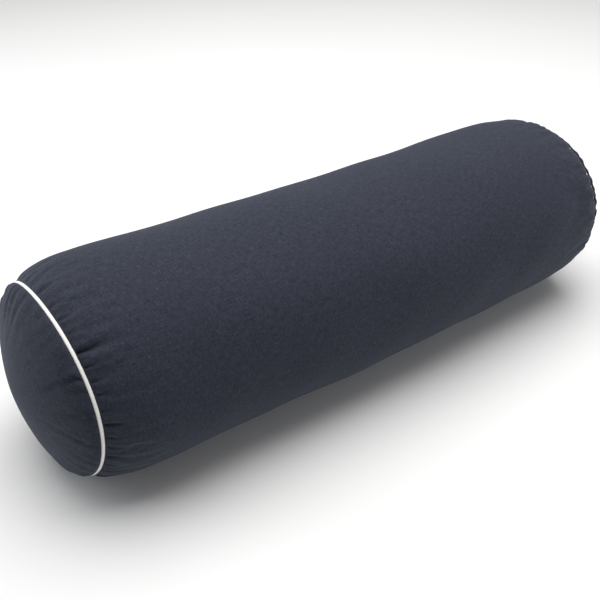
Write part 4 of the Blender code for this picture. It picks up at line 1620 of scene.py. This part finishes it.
class BOLSTER_OT_filling(PieceOperator, bpy.types.Operator):
    """Builds the wadding and the foam core"""

    bl_idname = "bolster.filling"
    bl_label = "Filling"
    build = staticmethod(make_filling)


class BOLSTER_OT_zip_tapes(PieceOperator, bpy.types.Operator):
    """Gives the zip's two tapes their woven finish"""

    bl_idname = "bolster.zip_tapes"
    bl_label = "Zip Tapes"

    def build(self):
        for node in ("zip_tape_upper", "zip_tape_lower"):
            bpy.data.objects[node].data.materials.clear()
            bpy.data.objects[node].data.materials.append(tape_finish())


class BOLSTER_OT_zip_coils(PieceOperator, bpy.types.Operator):
    """Builds the two halves of the zip's coil"""

    bl_idname = "bolster.zip_coils"
    bl_label = "Zip Coils"
    build = staticmethod(make_coils)


class BOLSTER_OT_zip_metal(PieceOperator, bpy.types.Operator):
    """Builds the zip's slider, pull tab and stops"""

    bl_idname = "bolster.zip_metal"
    bl_label = "Slider, Pull Tab and Stops"
    build = staticmethod(make_zip_metal)


class BOLSTER_OT_topstitching(PieceOperator, bpy.types.Operator):
    """Sews the line of stitches round the zip"""

    bl_idname = "bolster.topstitching"
    bl_label = "Topstitching"
    build = staticmethod(make_topstitching)


class BOLSTER_OT_stage(PieceOperator, bpy.types.Operator):
    """Sets the floor, the lights and the camera"""

    bl_idname = "bolster.stage"
    bl_label = "Stage"

    def build(self):
        make_floor()
        make_lights()
        make_camera()


OPERATORS = (
    BOLSTER_OT_stage,
    BOLSTER_OT_side_panel,
    BOLSTER_OT_end_panels,
    BOLSTER_OT_piping,
    BOLSTER_OT_inner_case,
    BOLSTER_OT_filling,
    BOLSTER_OT_zip_tapes,
    BOLSTER_OT_zip_coils,
    BOLSTER_OT_zip_metal,
    BOLSTER_OT_topstitching,
)


class BOLSTER_PT_pieces(bpy.types.Panel):
    """Lists the bolster's pieces and sizes"""

    bl_idname = "BOLSTER_PT_pieces"
    bl_label = "Bolster Pillow"
    bl_space_type = "VIEW_3D"
    bl_region_type = "UI"
    bl_category = "Bolster"

    def draw(self, context):
        layout = self.layout
        for operator in OPERATORS:
            layout.operator(operator.bl_idname)
        for group in (context.scene.bolster_sizes, context.scene.bolster_colours):
            box = layout.box()
            for name in group.__annotations__:
                box.prop(group, name)


CLASSES = (BolsterSizes, BolsterColours, *OPERATORS, BOLSTER_PT_pieces)


def register():
    for each in CLASSES:
        bpy.utils.register_class(each)
    bpy.types.Scene.bolster_sizes = PointerProperty(type=BolsterSizes)
    bpy.types.Scene.bolster_colours = PointerProperty(type=BolsterColours)


def unregister():
    del bpy.types.Scene.bolster_colours
    del bpy.types.Scene.bolster_sizes
    for each in reversed(CLASSES):
        bpy.utils.unregister_class(each)


def main():
    register()
    for operator in OPERATORS:
        group, name = operator.bl_idname.split(".")
        getattr(getattr(bpy.ops, group), name)()


if __name__ == "__main__":
    main()
